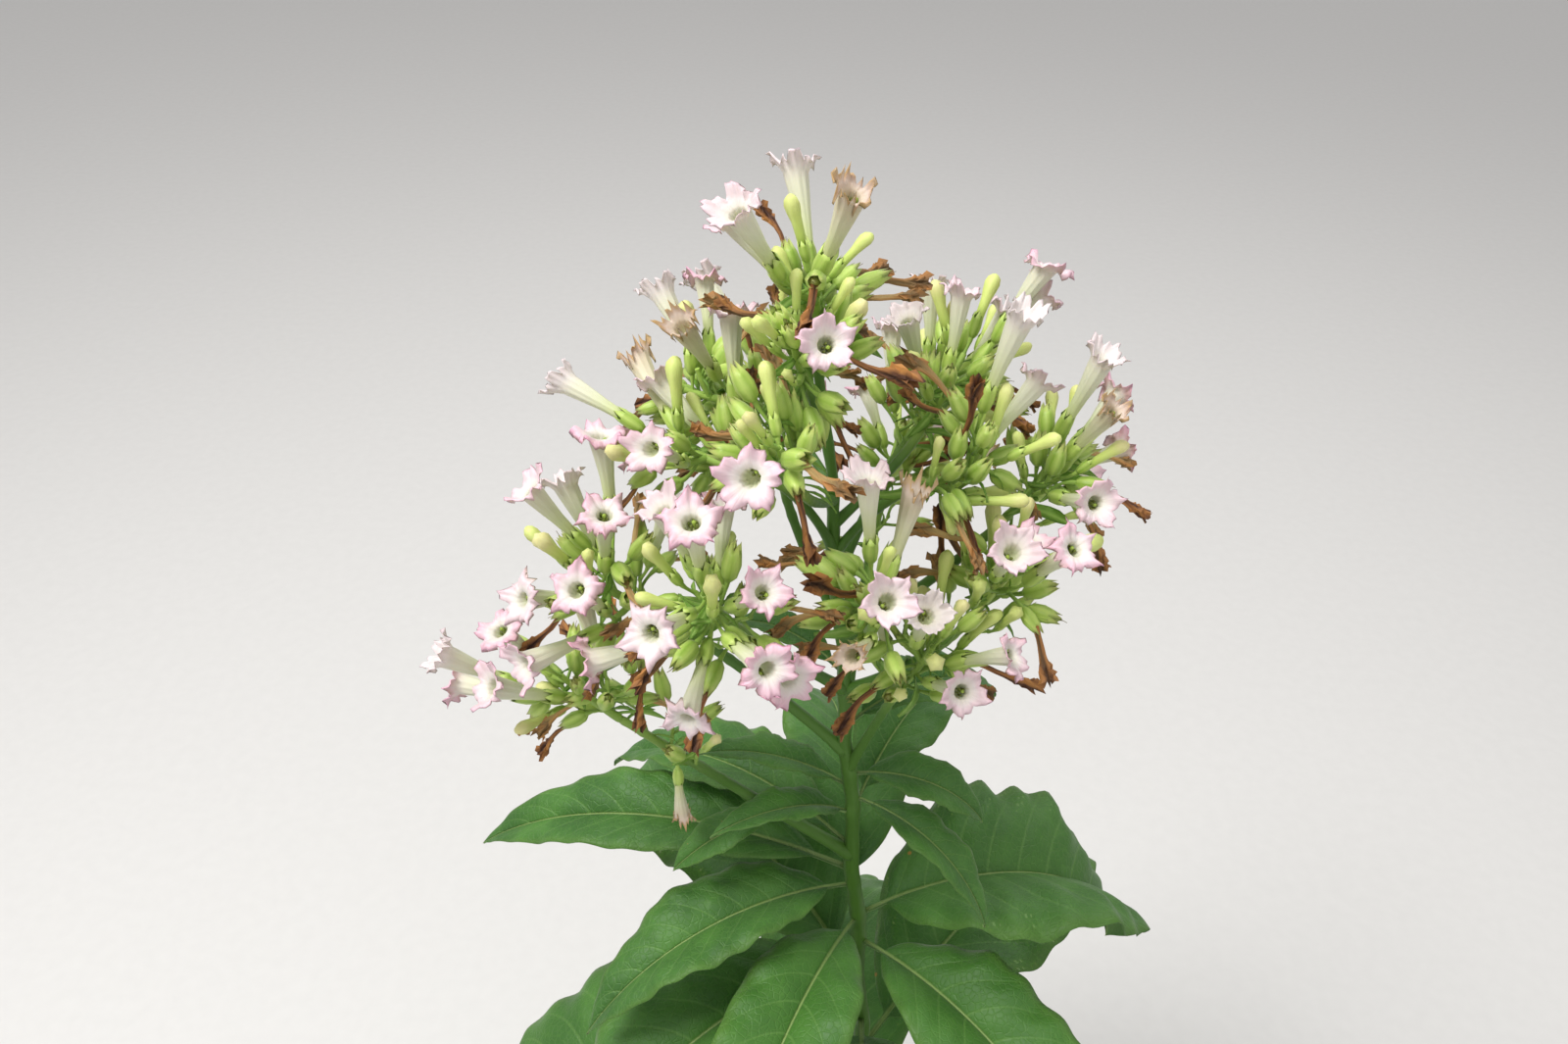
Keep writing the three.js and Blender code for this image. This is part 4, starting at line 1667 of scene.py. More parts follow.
    @staticmethod
    def within_reach(organ: Organ) -> bool:
        """Whether an organ stays in the space that the solids reach.

        Args:
            organ: The organ.

        Returns:
            True if its end does.
        """
        low, high = (np.array(corner) / MM for corner in CAD_BOX)
        room = 0.5 * ORGANS[organ.kind].room
        return bool(np.all(organ.end > low + room) and np.all(organ.end < high - room))

    def grow(self, thicket: Thicket) -> None:
        """Grows the stalks and organs that the solids have.

        Args:
            thicket: What grows already.
        """
        dice = Dice(self.seed)
        growth = Growth(thicket, dice, Clearance())
        self.turn = dice.between(0, 360)
        self.stalks.append(Stalk(self.main, sites=6, start=0.34, radius=Bough.TIP_RADIUS))
        for i in range(self.SIDE_STALKS):
            share = self.SIDE_START + self.SIDE_STEP * i + dice.between(-self.SIDE_SHIFT, self.SIDE_SHIFT)
            length = self.SIDE_LENGTH * self.length
            curve = self.side_stalk(growth, self.main, share, length)
            if curve:
                self.stalks.append(Stalk(curve, sites=3, start=0.45, radius=self.TIP_RADIUS))
        for stalk in self.stalks:
            for site in range(stalk.sites):
                share = lerp(stalk.start, 1, site / (stalk.sites - 1))
                self.add_organ(growth, stalk.curve, share, self.kind_at(share, dice.roll()))

    def fine_kind(self, dice: Dice) -> Kind:
        """A kind by chance, as often as the finer growth has it."""
        return self.FINE_KINDS[int(dice.roll() * len(self.FINE_KINDS))]

    def refine(self, thicket: Thicket) -> None:
        """Grows finer stalks and organs on the head and its bough, within the same reach.

        Args:
            thicket: What grows already.
        """
        dice = Dice(self.seed + 1)
        growth = Growth(thicket, dice, self.FINE)
        span = float(np.linalg.norm(self.carrier.tip - self.carrier.foot))
        sites = [(self.main, share, 0.5 * self.length) for share in self.FINE_ON_MAIN]
        count = max(1, int(span * (1 - Bough.BARE_SHARE) / self.FINE_SPACING))
        for i in range(count):
            share = lerp(Bough.BARE_SHARE, self.FINE_LAST, (i + 1) / count)
            sites.append((self.carrier, share, self.FINE_TWIG))
        for curve, share, length in sites:
            twig = self.side_stalk(growth, curve, share, length)
            if twig is None:
                continue
            kind = self.fine_kind(dice)
            kind = Kind.CAPSULE if dice.roll() < self.FINE_FRUIT else kind
            borne = self.add_organ(growth, twig, self.FINE_MIDDLE, kind)
            borne += self.add_organ(growth, twig, 1.0, self.fine_kind(dice))
            if borne:
                self.twigs.append(Stalk(twig, sites=borne, start=0.5, radius=self.FINE_RADIUS))
        for stalk in self.stalks:
            for share in self.FINE_ON_STALK:
                self.add_organ(growth, stalk.curve, share, self.fine_kind(dice))


# Small shapes, each along +Z from the foot of its calyx, in millimetres


class SmallShape:
    """A small shape that stands many times on the plant, in a few variants of one atlas."""

    NAME: ClassVar[str]
    FINISH: ClassVar[DyedAndPaintedLight]
    SEED: ClassVar[int]
    COLUMNS: ClassVar[int] = 4
    ROWS: ClassVar[int] = 1

    def draft(self, number: int) -> Draft:
        """One variant's mesh."""
        raise NotImplementedError

    def dice(self, number: int) -> Dice:
        """One variant's run of numbers."""
        return Dice(self.SEED + number)

    @classmethod
    def count(cls) -> int:
        """How many variants it has."""
        return cls.COLUMNS * cls.ROWS

    def uv(self, number: int, grid: Points) -> Points:
        """Atlas places for one variant, inside a small margin.

        Args:
            number: The variant's number, counted along the atlas's rows.
            grid: Any array of its rows by sides.

        Returns:
            The places, one column more than there are sides.
        """
        row, column = divmod(number, self.COLUMNS)
        left, right = (column + TILE_MARGIN) / self.COLUMNS, (column + 1 - TILE_MARGIN) / self.COLUMNS
        low, high = (row + TILE_MARGIN) / self.ROWS, (row + 1 - TILE_MARGIN) / self.ROWS
        return spread_uv(*grid.shape[:2], (left, low, right, high))

    @staticmethod
    def turned(rows: Rows, wave: Points, bend: float, lift: Points) -> Points:
        """A shape turned about +Z.

        Args:
            rows: The height and radius of each ring.
            wave: How much each point's radius differs, as a share, rows by sides.
            bend: How far its top stands to the side.
            lift: How much higher each point stands.

        Returns:
            Its points, rows by sides by 3.
        """
        angle = ring_angles(wave.shape[1])
        height = np.array([row[0] for row in rows])[:, None] * np.ones(len(angle))
        radius = np.array([row[1] for row in rows])[:, None] * (1 + wave)
        shift = bend * (height / height.max()) ** 2
        return np.stack([radius * np.cos(angle) + shift, radius * np.sin(angle), height + lift], axis=-1)


@dataclass(frozen=True)
class Corolla(SmallShape):
    """An open flower's long tube and its limb of five pointed lobes."""

    tube: Rows = ((3, 2.2), (14, 2.7), (26, 3.4), (36, 4.5), (43, 5.3), (47, 5.8))
    throat: Rows = ((47.5, 4.3), (45.8, 3.8), (43.0, 3.3), (40.2, 2.6))
    limb: Row = (0.16, 0.38, 0.6, 0.82, 1.0)
    lobe: Row = (-1.0, -0.85, -0.64, -0.38, -0.14, 0.0, 0.14, 0.38, 0.64, 0.85)
    lobes: int = 5
    radius: float = 16.0
    blush: Row = (0.6, 0.9, 0.3, 0.8, 0.5, 1.0, 0.2, 0.7, 0.6, 0.95, 0.5, 0.3)
    funnel: Row = (0.0, 2.5, 6.0, 0.5, 4.0, 0.0, 7.5, 3.0, 5.0, 0.0, 3.0, 5.0)
    first_faded: int = 10
    faded_size: float = 0.7
    horn_width: float = 0.09
    limb_thickness: float = 0.4
    ruffles: Rows = ((2, 0.4, 1.1), (3, 0.4, 1.0), (9, 0.7, 1.2), (14, 1.3, 2.0))
    curl: Span = (0.3, 4.4)
    bend: Span = (1.5, 4.5)
    tilt: float = 0.22

    NAME = "corollas"
    FINISH = PETAL
    SEED = 900
    ROWS = 3

    def reach(self, dice: Dice, turn: Points, broad: Points, horn: Points) -> Points:
        """How far the limb's edge reaches.

        Args:
            dice: The variant's run of numbers.
            turn: The angle of each column.
            broad: How near each is to its lobe's middle.
            horn: Its share of the lobe's point.

        Returns:
            A radius for each column.
        """
        reach = self.radius * (0.61 + 0.21 * broad + 0.2 * horn)
        reach = reach * np.repeat(dice.many(self.lobes, 0.93, 1.04), len(self.lobe))
        return reach * (1 + 0.065 * np.sin(10 * turn + dice.angle()))

    def draft(self, number: int) -> Draft:
        """One flower with its dye; the last variants are faded and shrunken.

        Args:
            number: The variant's number.

        Returns:
            The mesh.
        """
        dice = self.dice(number)
        age = float(number >= self.first_faded)
        mouth, mouth_radius = self.tube[-1]
        lobe = np.tile(self.lobe, self.lobes)
        turn = np.repeat(np.arange(self.lobes), len(self.lobe)) * (2 * math.pi / self.lobes)
        turn = turn + lobe * math.pi / self.lobes
        broad = 1 - np.abs(lobe) ** 4.4
        horn = np.exp(-np.abs(lobe) / self.horn_width)
        reach = self.reach(dice, turn, broad, horn) * lerp(1, self.faded_size, age)
        reach = reach * (1 - 0.02 * self.funnel[number])
        ruffle = sum(
            dice.between(low, high) * lerp(1, 2.4, age) * np.sin(n * turn + dice.angle())
            for n, low, high in self.ruffles
        )
        curl = np.repeat(dice.many(self.lobes, *self.curl), len(self.lobe)) * lerp(1, 1.5, age)
        shares = np.array([*self.limb, *self.limb[-2::-1]])[:, None]
        above = np.array([0.0] * len(self.limb) + [self.limb_thickness] * (len(self.limb) - 1))[:, None]
        bent = np.clip(shares - 0.3, 0, None) / 0.7
        back = curl * bent**2 * (0.4 + 0.6 * broad)
        rise = 2.4 * (1 - (1 - shares) ** 2.4) + above + 2.2 * shares * np.cos(math.pi * lobe)
        rise = rise + self.funnel[number] * shares
        limb_height = mouth + rise + ruffle * shares**1.6 - back
        limb_radius = lerp(mouth_radius, reach, shares) - 0.25 * back * bent
        tube_part, throat_part = (np.array(rows)[:, :, None] + 0 * turn for rows in (self.tube, self.throat))
        height = np.concatenate([tube_part[:, 0], limb_height, throat_part[:, 0]])
        radius = np.concatenate([tube_part[:, 1], limb_radius, throat_part[:, 1]])
        flute = 0.05 * smooth(20, 40, height) * (1 - smooth(44, 49, height))
        radius = radius * (1 + flute * np.cos(2 * self.lobes * turn))
        bend, side = dice.between(*self.bend), dice.angle()
        tilt = dice.between(-self.tilt, self.tilt) * radius * np.cos(turn - dice.angle())
        height = height + tilt * smooth(38, 50, height)
        sag = bend * (height / 50) ** 2
        aside = np.array([math.cos(side), math.sin(side)])
        flat = radius[..., None] * np.stack([np.cos(turn), np.sin(turn)], axis=-1) + sag[..., None] * aside
        surface = np.concatenate([flat, height[..., None]], axis=-1)
        inner = np.arange(len(height))[:, None] >= len(self.tube) + len(self.limb)
        out = np.zeros(height.shape)
        out[len(self.tube) : -len(self.throat)] = shares * (0.75 + 0.125 * (broad + horn))
        colour = self.colour(self.blush[number], age, height, out, inner)
        ends = (surface[0].mean(axis=0) - UP, surface[-1].mean(axis=0) - UP)
        return Draft().grid(surface, self.uv(number, surface), ends, dye=colour)

    @staticmethod
    def colour(blush: float, age: float, height: Points, out: Points, inner: Points) -> Points:
        """Pink toward the lobes' edges, green in the throat and at the tube's foot, tan with age.

        Args:
            blush: How pink it is.
            age: 1 on a faded flower, or else 0.
            height: The height of each point.
            out: How far out on the limb it is, as a share.
            inner: Whether it is in the throat.

        Returns:
            The dye of each point.
        """
        pink = 0.42 * smooth(0.02, 0.3, out) + 0.5 * out**3 + 0.12 * ~inner * smooth(36, 48, height)
        throat = 0.1 * (out <= 0) + 0.45 * (1 - smooth(40, 47, height))
        tube = 0.5 * (1 - smooth(12, 36, height)) + 0.34 * (1 - smooth(40, 52, height))
        spent = 0.12 + 0.25 * smooth(30, 46, height) + 0.6 * smooth(0.1, 0.7, out)
        return dye(height.shape, blush * pink, np.where(inner, throat, tube), age * spent)


@dataclass(frozen=True)
class FlowerHeart(SmallShape):
    """The five stamens and the stigma in a flower's mouth."""

    stamens: int = 5
    stigma_height: float = 44.8
    foot_height: float = 39.4
    anther_heights: Span = (42.6, 44.4)
    anther_places: Span = (1.4, 2.1)
    stigma_size: Span = (1.05, 0.7)
    anther_size: Span = (0.75, 1.2)
    sides: int = 5

    NAME = "flower_hearts"
    FINISH = HEART
    SEED = 500
    COLUMNS = 2
    ROWS = 2

    def draft(self, number: int) -> Draft:
        """Five anthers round one stigma.

        Args:
            number: The variant's number.

        Returns:
            The mesh.
        """
        dice = self.dice(number)
        draft = Draft()
        angle = ring_angles(self.sides)
        ring = np.stack([np.cos(angle), np.sin(angle), 0 * angle], axis=-1)
        for i in range(self.stamens + 1):
            stigma = i == self.stamens
            turn = i * 2 * math.pi / self.stamens + dice.between(-0.2, 0.2)
            out = 0.3 if stigma else dice.between(*self.anther_places)
            top = self.stigma_height if stigma else dice.between(*self.anther_heights)
            wide, tall = self.stigma_size if stigma else self.anther_size
            foot = np.array([out * math.cos(turn), out * math.sin(turn), self.foot_height])
            middle = foot + UP * (top - self.foot_height)
            levels = np.array([foot, middle - UP * (0.2 * tall), middle + UP * (0.7 * tall)])[:, None]
            widths = np.array([0.3, 1.0, 0.6])[:, None, None] * wide
            colour = dye((3, self.sides), 0.9 * (not stigma), 0, 0.15 * dice.roll())
            ends = (foot, middle + UP * tall)
            surface = levels + ring * widths
            draft.grid(surface, self.uv(number, surface), ends, dye=colour)
        return draft


@dataclass(frozen=True)
class Calyx(SmallShape):
    """A cup with five pointed teeth, which close over a fruit."""

    open_cup: Rows = ((0.7, 2.0), (3.2, 3.5), (8.5, 4.2), (13.0, 3.9), (16.6, 3.7), (12.5, 3.0))
    round_fruit: Rows = ((0.7, 2.2), (3.0, 4.0), (8.5, 4.9), (13.5, 4.1), (18.0, 2.6), (12.5, 3.0))
    teeth: int = 5
    tooth: float = 2.0
    notch: float = 1.9
    depth: Row = (0.0, 0.35, 0.12, 0.5, 0.25, 0.65, 0.05, 0.45)
    first_fruit: int = 4

    NAME = "calyces"
    FINISH = CALYX
    SEED = 300
    ROWS = 2

    def draft(self, number: int) -> Draft:
        """One cup: the first variants hold a flower, the others close over a fruit.

        Args:
            number: The variant's number.

        Returns:
            The mesh.
        """
        dice = self.dice(number)
        fruit = number >= self.first_fruit
        rows = self.round_fruit if fruit else self.open_cup
        sides = 2 * self.teeth
        tooth = np.cos(self.teeth * ring_angles(sides)) > 0
        wave = 0.035 * np.where(tooth, 1.0, -1.0) * np.ones((len(rows), 1))
        lift = np.zeros_like(wave)
        rim = len(rows) - 2
        lift[rim] = np.where(tooth, self.tooth * np.repeat(dice.many(self.teeth, 0.8, 1.5), 2), -self.notch)
        wave[rim] = np.where(tooth, dice.between(-0.3, 0.05), 0.12)
        wave[-1] = 0
        surface = self.turned(rows, wave, 0.8, lift)
        height = surface[..., 2]
        tips = smooth(15, 20, height)
        # A random darker tone for each variant, with painted shade toward the cup's foot and in the grooves
        # between the teeth.
        tone_and_painted_shade = self.depth[number] + 0.4 * (1 - smooth(0, 9, height)) + 0.35 * ~tooth
        colour = dye(height.shape, tone_and_painted_shade, 0.4 * tooth + 0.5 * tips, 0.5 * fruit * tips)
        ends = ((0, 0, 0.2), (0.3, 0, 7))
        return Draft().grid(surface, self.uv(number, surface), ends, dye=colour)


@dataclass(frozen=True)
class BudShape(SmallShape):
    """A closed flower: a slim tube with a swollen, pleated tip."""

    rows: Rows = ((8, 2.5), (15, 2.5), (22, 2.8), (27, 3.4), (31, 3.9), (34, 3.2), (35.8, 1.5))
    sides: int = 10
    blush: Row = (0.1, 0.3, 0.0, 0.2, 0.05, 0.35)

    NAME = "buds"
    FINISH = BUD
    SEED = 600
    COLUMNS = 3
    ROWS = 2

    def draft(self, number: int) -> Draft:
        """One bud, pink at its tip and green at its foot.

        Args:
            number: The variant's number.

        Returns:
            The mesh.
        """
        dice = self.dice(number)
        wave = np.zeros((len(self.rows), self.sides))
        wave[3:] = 0.13 * np.cos(5 * ring_angles(self.sides))
        bend = dice.between(-2.5, 2.5)
        surface = self.turned(self.rows, wave, bend, np.zeros_like(wave))
        height = surface[..., 2]
        pink = self.blush[number] * smooth(24, 34, height)
        colour = dye(height.shape, pink, 0.8 * (1 - smooth(8, 26, height)))
        ends = ((0, 0, 6), (bend, 0, 36.4))
        return Draft().grid(surface, self.uv(number, surface), ends, dye=colour)


@dataclass(frozen=True)
class Capsule(SmallShape):
    """An egg-shaped fruit with two soft seams and the thread of its style."""

    rows: Rows = ((2, 2.0), (5, 3.5), (9, 4.2), (13, 3.6), (16, 2.0))
    sides: int = 8
    style_radii: Row = (0.35, 0.2, 0.18)

    NAME = "capsules"
    FINISH = CAPSULE
    SEED = 700
    COLUMNS = 3

    def draft(self, number: int) -> Draft:
        """One fruit: the later the variant, the riper.

        Args:
            number: The variant's number.

        Returns:
            The mesh.
        """
        dice = self.dice(number)
        seam = np.cos(4 * ring_angles(self.sides) / 2)
        bend = dice.between(-0.6, 0.6)
        surface = self.turned(self.rows, 0.04 * seam * np.ones((len(self.rows), 1)), bend, 0 * seam)
        height = surface[..., 2]
        ripe = 0.3 * number * smooth(8, 16, height)
        # The first colour is a painted highlight on the two swellings; the second is the seams' own darker
        # green.
        colour = dye(height.shape, 0.5 * (1 + seam), 0.5 * np.clip(-seam, 0, 1), ripe)
        line = np.array([[bend, 0, 17.2], [bend + 0.5, 0.2, 19.6], [bend + 0.2, 0.7, 22]])
        radii = np.array(self.style_radii)[:, None] * np.ones(3)
        thread = tube(line, radii, self.uv(number, radii), dye=dye(radii.shape, 0, 0, 0.9))
        ends = ((0, 0, 1), (bend, 0, 18))
        return thread.grid(surface, self.uv(number, surface), ends, dye=colour)


@dataclass(frozen=True)
class WitheredFlower(SmallShape):
    """A withered flower: a flat, twisted tube that ends in a crumpled, ragged limb."""

    rows: Rows = (
        (0, 1.6), (6, 1.3), (11, 1.4), (15, 1.5), (18.5, 1.9), (20.5, 2.8), (22, 2.1), (24, 3.4), (25.5, 2.5),
        (28, 3.7), (26, 2.0),
    )
    sides: int = 14
    pale: Row = (0.1, 0.9, 0.0, 0.35, 0.0, 0.6)
    stretch: Row = (1.0, 1.3, 1.15, 1.0, 1.35, 1.2)
    lip: float = 12.0
    hidden: float = 10.0
    span: float = 33.0

    NAME = "withered_flowers"
    FINISH = WITHERED
    SEED = 800
    COLUMNS = 3
    ROWS = 2

    def draft(self, number: int) -> Draft:
        """One withered flower with flat facets, painted shade in its creases and a painted highlight on its
        ridges.

        Args:
            number: The variant's number.

        Returns:
            The mesh.
        """
        dice = self.dice(number)
        angle = ring_angles(self.sides)
        height = np.array([row[0] for row in self.rows])[:, None]
        knot = smooth(16, 22, height)
        wave = 0.25 * np.cos(2 * angle + dice.angle() + dice.between(0.05, 0.14) * height)
        fold = np.zeros_like(wave)
        for n in (2, 3, 5):
            climb = dice.between(-0.5, 0.5) * height
            wave = wave + (0.09 + 0.11 * knot) * np.sin(n * angle + dice.angle() + climb)
            fold = fold + dice.between(0.7, 1.6) * np.sin((n + 1) * angle + dice.angle() - climb)
        surface = self.turned(self.rows, wave, dice.between(-6, 6), fold * knot)
        surface[..., 2] *= self.stretch[number]
        surface[..., 1] += dice.between(0.8, 1.8) * np.sin(0.2 * height + dice.angle())
        # Painted shade in the creases, also darker in the crumpled head; the last colour below is a painted
        # highlight on the ridges.
        painted_crease_shade = 0.3 - 1.8 * wave + 0.3 * knot
        colour = dye(wave.shape, painted_crease_shade, self.pale[number] * (1 - 0.6 * knot), 1.7 * wave + 0.1)
        ends = (surface[0].mean(axis=0) - UP, surface[-1].mean(axis=0) - 1.5 * UP)
        return Draft(sharp=True).grid(surface, self.uv(number, surface), ends, dye=colour)


@dataclass(frozen=True)
class BractShape(SmallShape):
    """A small narrow leaf of length one hundred, folded along its midrib and arching over."""

    rows: int = 7
    across: Row = (-1.0, -0.5, 0.0, 0.5, 1.0)
    half_width: float = 11.0
    thickness: float = 1.2
    length: float = 100.0

    NAME = "bracts"
    FINISH = BRACT
    SEED = 400
    COLUMNS = 2
    ROWS = 2

    def draft(self, number: int) -> Draft:
        """One bract along +Y from its foot, its upper face to +Z.

        Args:
            number: The variant's number.

        Returns:
            The mesh.
        """
        dice = self.dice(number)
        t = np.linspace(0, 1, self.rows)[:, None]
        u = np.array([*self.across[::-1], *self.across])
        half = self.half_width * np.sin(math.pi * (t * 0.93 + 0.04)) ** 0.8
        angle = dice.between(0.5, 1.3) * t**1.4
        lift = 0.4 * half * np.abs(u) + 2.0 * np.sin(9 * t + 2 * u) * np.abs(u)
        lift = lift - np.repeat([0.0, self.thickness], len(self.across))
        along = np.stack([0 * t, np.cos(angle), -np.sin(angle)], axis=-1)
        line = (np.cumsum(along, axis=0) - along[0]) * (self.length / (self.rows - 1))
        over = np.stack([0 * t, np.sin(angle), np.cos(angle)], axis=-1)
        surface = line + np.array([1.0, 0.0, 0.0]) * (half * u)[..., None] + over * lift[..., None]
        colour = dye(lift.shape, 0.8 * (np.abs(u) < 0.1), np.abs(u) * 0.3)
        ends = (surface[0].mean(axis=0), surface[-1].mean(axis=0))
        return Draft().grid(surface, self.uv(number, surface), ends, dye=colour)


# The plant


@dataclass
class Crown:
    """All the flower heads, and what stands on them."""

    top_azimuth: float = 212.0
    top_rise: float = 83.0
    top_length: float = 31.0
    top_seed: int = 6606
    top_reach: float = 90.0
    bract_share: float = 0.4
    bract_sizes: Span = (0.08, 0.2)
    stalk_bract_sizes: Span = (0.16, 0.36)
    faded_share: float = 0.12
    bud_cup: float = 0.75
    bud_sizes: Span = (0.65, 1.1)
    seed: int = 4242
    spent_bough: Bough = BOUGHS[0]
    spent_share: float = 0.72
    spent_pedicel: float = 9.0
    spent_size: float = 0.8
    heads: list[FlowerHead] = field(default_factory=list)

    SHAPES = (
        Corolla(), FlowerHeart(), Calyx(), BudShape(), Capsule(), WitheredFlower(), BractShape(),
    )

    @property
    def nodes(self) -> list[str]:
        """The names of the solids that it stands for."""
        return [head.node for head in self.heads]

    def grow(self) -> None:
        """Grows all the flower heads, first as the solids have them and then finer."""
        thicket = Thicket()
        heights = STEM.heights()
        for low, high in zip(heights[:-1], heights[1:]):
            thicket.add([(STEM.point(low), STEM.point(high), float(STEM.radius(low)), True)], "head_top")
        for bough in BOUGHS:
            thicket.add(pieces_of(bough.curve(), Bough.STEPS, bough.radius), f"head_{bough.name}")
        for leaf in LEAVES:
            line = leaf.line(Leaf.STATIONS)
            side = line.level * line.half[:, None]
            room = 0.6 * leaf.length / Leaf.STATIONS
            thicket.add([(p - s, p + s, room, False) for p, s in zip(line.point, side)], f"leaf_{leaf.name}")
        for bough in BOUGHS:
            course = (bough.head_azimuth, bough.head_rise, bough.head_length, bough.seed)
            self.heads.append(FlowerHead(bough.name, bough.curve(), *course))
        low, top = STEM.point(STEM.top - self.top_reach), STEM.point(STEM.top)
        course = (self.top_azimuth, self.top_rise, self.top_length, self.top_seed)
        self.heads.append(FlowerHead("top", Bend(low, 0.5 * (low + top), top), *course))
        for head in self.heads:
            thicket.add(pieces_of(head.main, Stalk.STEPS, Organ.STALK_ROOM), head.owner)
        for head in self.heads:
            head.grow(thicket)
        for head in self.heads:
            head.refine(thicket)
        self.heads[0].organs.append(self.spent_flower())

    def spent_flower(self) -> Organ:
        """A pale spent flower that hangs straight down from a low bough.

        Returns:
            The flower.
        """
        curve = self.spent_bough.curve()
        root = curve.at(self.spent_share)
        out = unit(toward(self.spent_bough.azimuth + 90, -40))
        elbow, length = root + out * self.spent_pedicel, self.spent_size * ORGANS[Kind.FLOWER].length
        return Organ(Kind.FLOWER, root, out, elbow, -UP, length, twist=20, spent=True)

    def stalk_lines(self) -> list[StalkLine]:
        """The lines of every stalk, twig and pedicel."""
        stalks = [stalk.line() for head in self.heads for stalk in [*head.stalks, *head.twigs]]
        return stalks + [organ.pedicel() for head in self.heads for organ in head.organs]

    def places(self) -> dict[str, list[Place]]:
        """Where each kind of small shape stands.

        Returns:
            The places, by the kind's name.
        """
        places: dict[str, list[Place]] = {shape.NAME: [] for shape in self.SHAPES}
        dice = Dice(self.seed)
        for organ in (organ for head in self.heads for organ in head.organs):
            # One number picks the variants of all that an organ has.
            draw = dice.roll()
            size = organ.length / ORGANS[organ.kind].length
            base = (organ.elbow, organ.aim, organ.twist)
            fruit = organ.kind in (Kind.CAPSULE, Kind.WITHERED)
            if organ.kind is Kind.FLOWER:
                faded = organ.spent or draw < self.faded_share
                first = Corolla.first_faded
                pick = first + int(draw * 20) % 2 if faded else int(draw * 97) % first
                places["corollas"].append(Place(*base, size, pick))
                places["flower_hearts"].append(Place(*base, size, int(draw * 41) % FlowerHeart.count()))
            elif organ.kind is Kind.BUD:
                size *= lerp(*self.bud_sizes, dice.roll())
                places["buds"].append(Place(*base, size, int(draw * BudShape.count())))
            elif organ.kind is Kind.WITHERED:
                foot = organ.elbow + organ.aim * WitheredFlower.lip
                length = (organ.length - WitheredFlower.hidden) / WitheredFlower.span
                pick = int(draw * WitheredFlower.count())
                places["withered_flowers"].append(Place(foot, organ.limp, organ.twist, length, pick))
                size = 0.85 + 0.2 * draw
            if fruit:
                swollen = (0.95 if size > 1 else 1.0) * size
                places["capsules"].append(Place(*base, swollen, int(draw * Capsule.count())))
            cup = (self.bud_cup if organ.kind is Kind.BUD else 1.0) * size
            pick = int(draw * Calyx.first_fruit) + Calyx.first_fruit * fruit
            places["calyces"].append(Place(*base, cup, pick))
            if dice.roll() < self.bract_share:
                size = dice.between(*self.bract_sizes)
                pick = int(draw * BractShape.count())
                places["bracts"].append(Place(organ.root, organ.out, 90, size, pick))
        for stalk in (stalk for head in self.heads for stalk in [*head.stalks[1:], *head.twigs]):
            aim = unit(stalk.curve.along(0.0) + 0.2 * toward(dice.between(0, 360), 0) - 0.2 * UP)
            size = dice.between(*self.stalk_bract_sizes)
            pick = int(dice.roll() * BractShape.count())
            places["bracts"].append(Place(stalk.curve.foot, aim, 90, size, pick))
        return places

    def make(self) -> None:
        """Makes the stalks, and each kind of small shape as one piece."""
        counts = {kind.value: sum(o.kind is kind for h in self.heads for o in h.organs) for kind in Kind}
        LOG.info("organs: %s", counts)
        own(StalkSkin().skin("flower_stalks", self.stalk_lines(), STALK.make()), self.nodes)
        stand = ShapeStand()
        places = self.places()
        for shape in self.SHAPES:
            own(stand.stand(shape, places[shape.NAME]), self.nodes)


@dataclass
class Limbs:
    """The stem, the boughs and the leaves, each a piece of its own."""

    spotted: LeafFinish = LeafFinish("spotted_leaf", spot_spacing=9.0, spotted=0.9)
    bough_seed: int = 40
    spotted_seed: int = 59
    leaf_seed: int = 60

    @staticmethod
    def dress(draft: Draft, name: str, finish: Material, slot: str, node: str) -> None:
        """Builds a draft, gives it its finish and joins it to the frame.

        Args:
            draft: The mesh in the making.
            name: The piece's name.
            finish: Its material.
            slot: What kind of part it is; not used.
            node: The solid that it stands for.
        """
        piece = draft.build(name)
        piece.data.materials.append(finish)
        own(piece, [node])

    def make(self) -> None:
        """Makes every limb."""
        skin = STEM_SKIN.make()
        nodes = [(limb.foot, limb.azimuth) for limb in [*LEAVES, *BOUGHS]]
        self.dress(STEM.draft(nodes), "stem_skin", skin, "stem", "main_stem")
        for i, bough in enumerate(BOUGHS):
            draft, name = bough.draft(self.bough_seed + i), bough.name
            self.dress(draft, f"bough_skin_{name}", skin, "stem", f"bough_{name}")
        blade = LeafFinish().make()
        for i, leaf in enumerate(LEAVES):
            draft, name = leaf.draft(self.leaf_seed + i), leaf.name
            self.dress(draft, f"leaf_blade_{name}", blade, "leaf", f"leaf_{name}")
        leaf = SPOTTED_LEAF
        node = f"flower_head_{leaf.bough.name}"
        draft, name = leaf.draft(self.spotted_seed), f"leaf_blade_{leaf.name}"
        self.dress(draft, name, self.spotted.make(), "leaf", node)


# The studio


@dataclass(frozen=True)
class Lamp:
    """A square soft light that looks at the crown."""

    name: str
    azimuth: float
    rise: float
    size: float
    power: float

    DISTANCE = 3.2
    AIM = (-0.05, 0.0, 0.95)

    def make(self) -> Object:
        """Builds the light.

        Returns:
            The light, in no collection yet.
        """
        light = bpy.data.lights.new(self.name, "AREA")
        light.energy = self.power
        light.size = self.size
        lamp = bpy.data.objects.new(self.name, light)
        away = toward(self.azimuth, self.rise)
        lamp.matrix_world = placed(frame_on(away, 0), np.array(self.AIM) + away * self.DISTANCE)
        return lamp


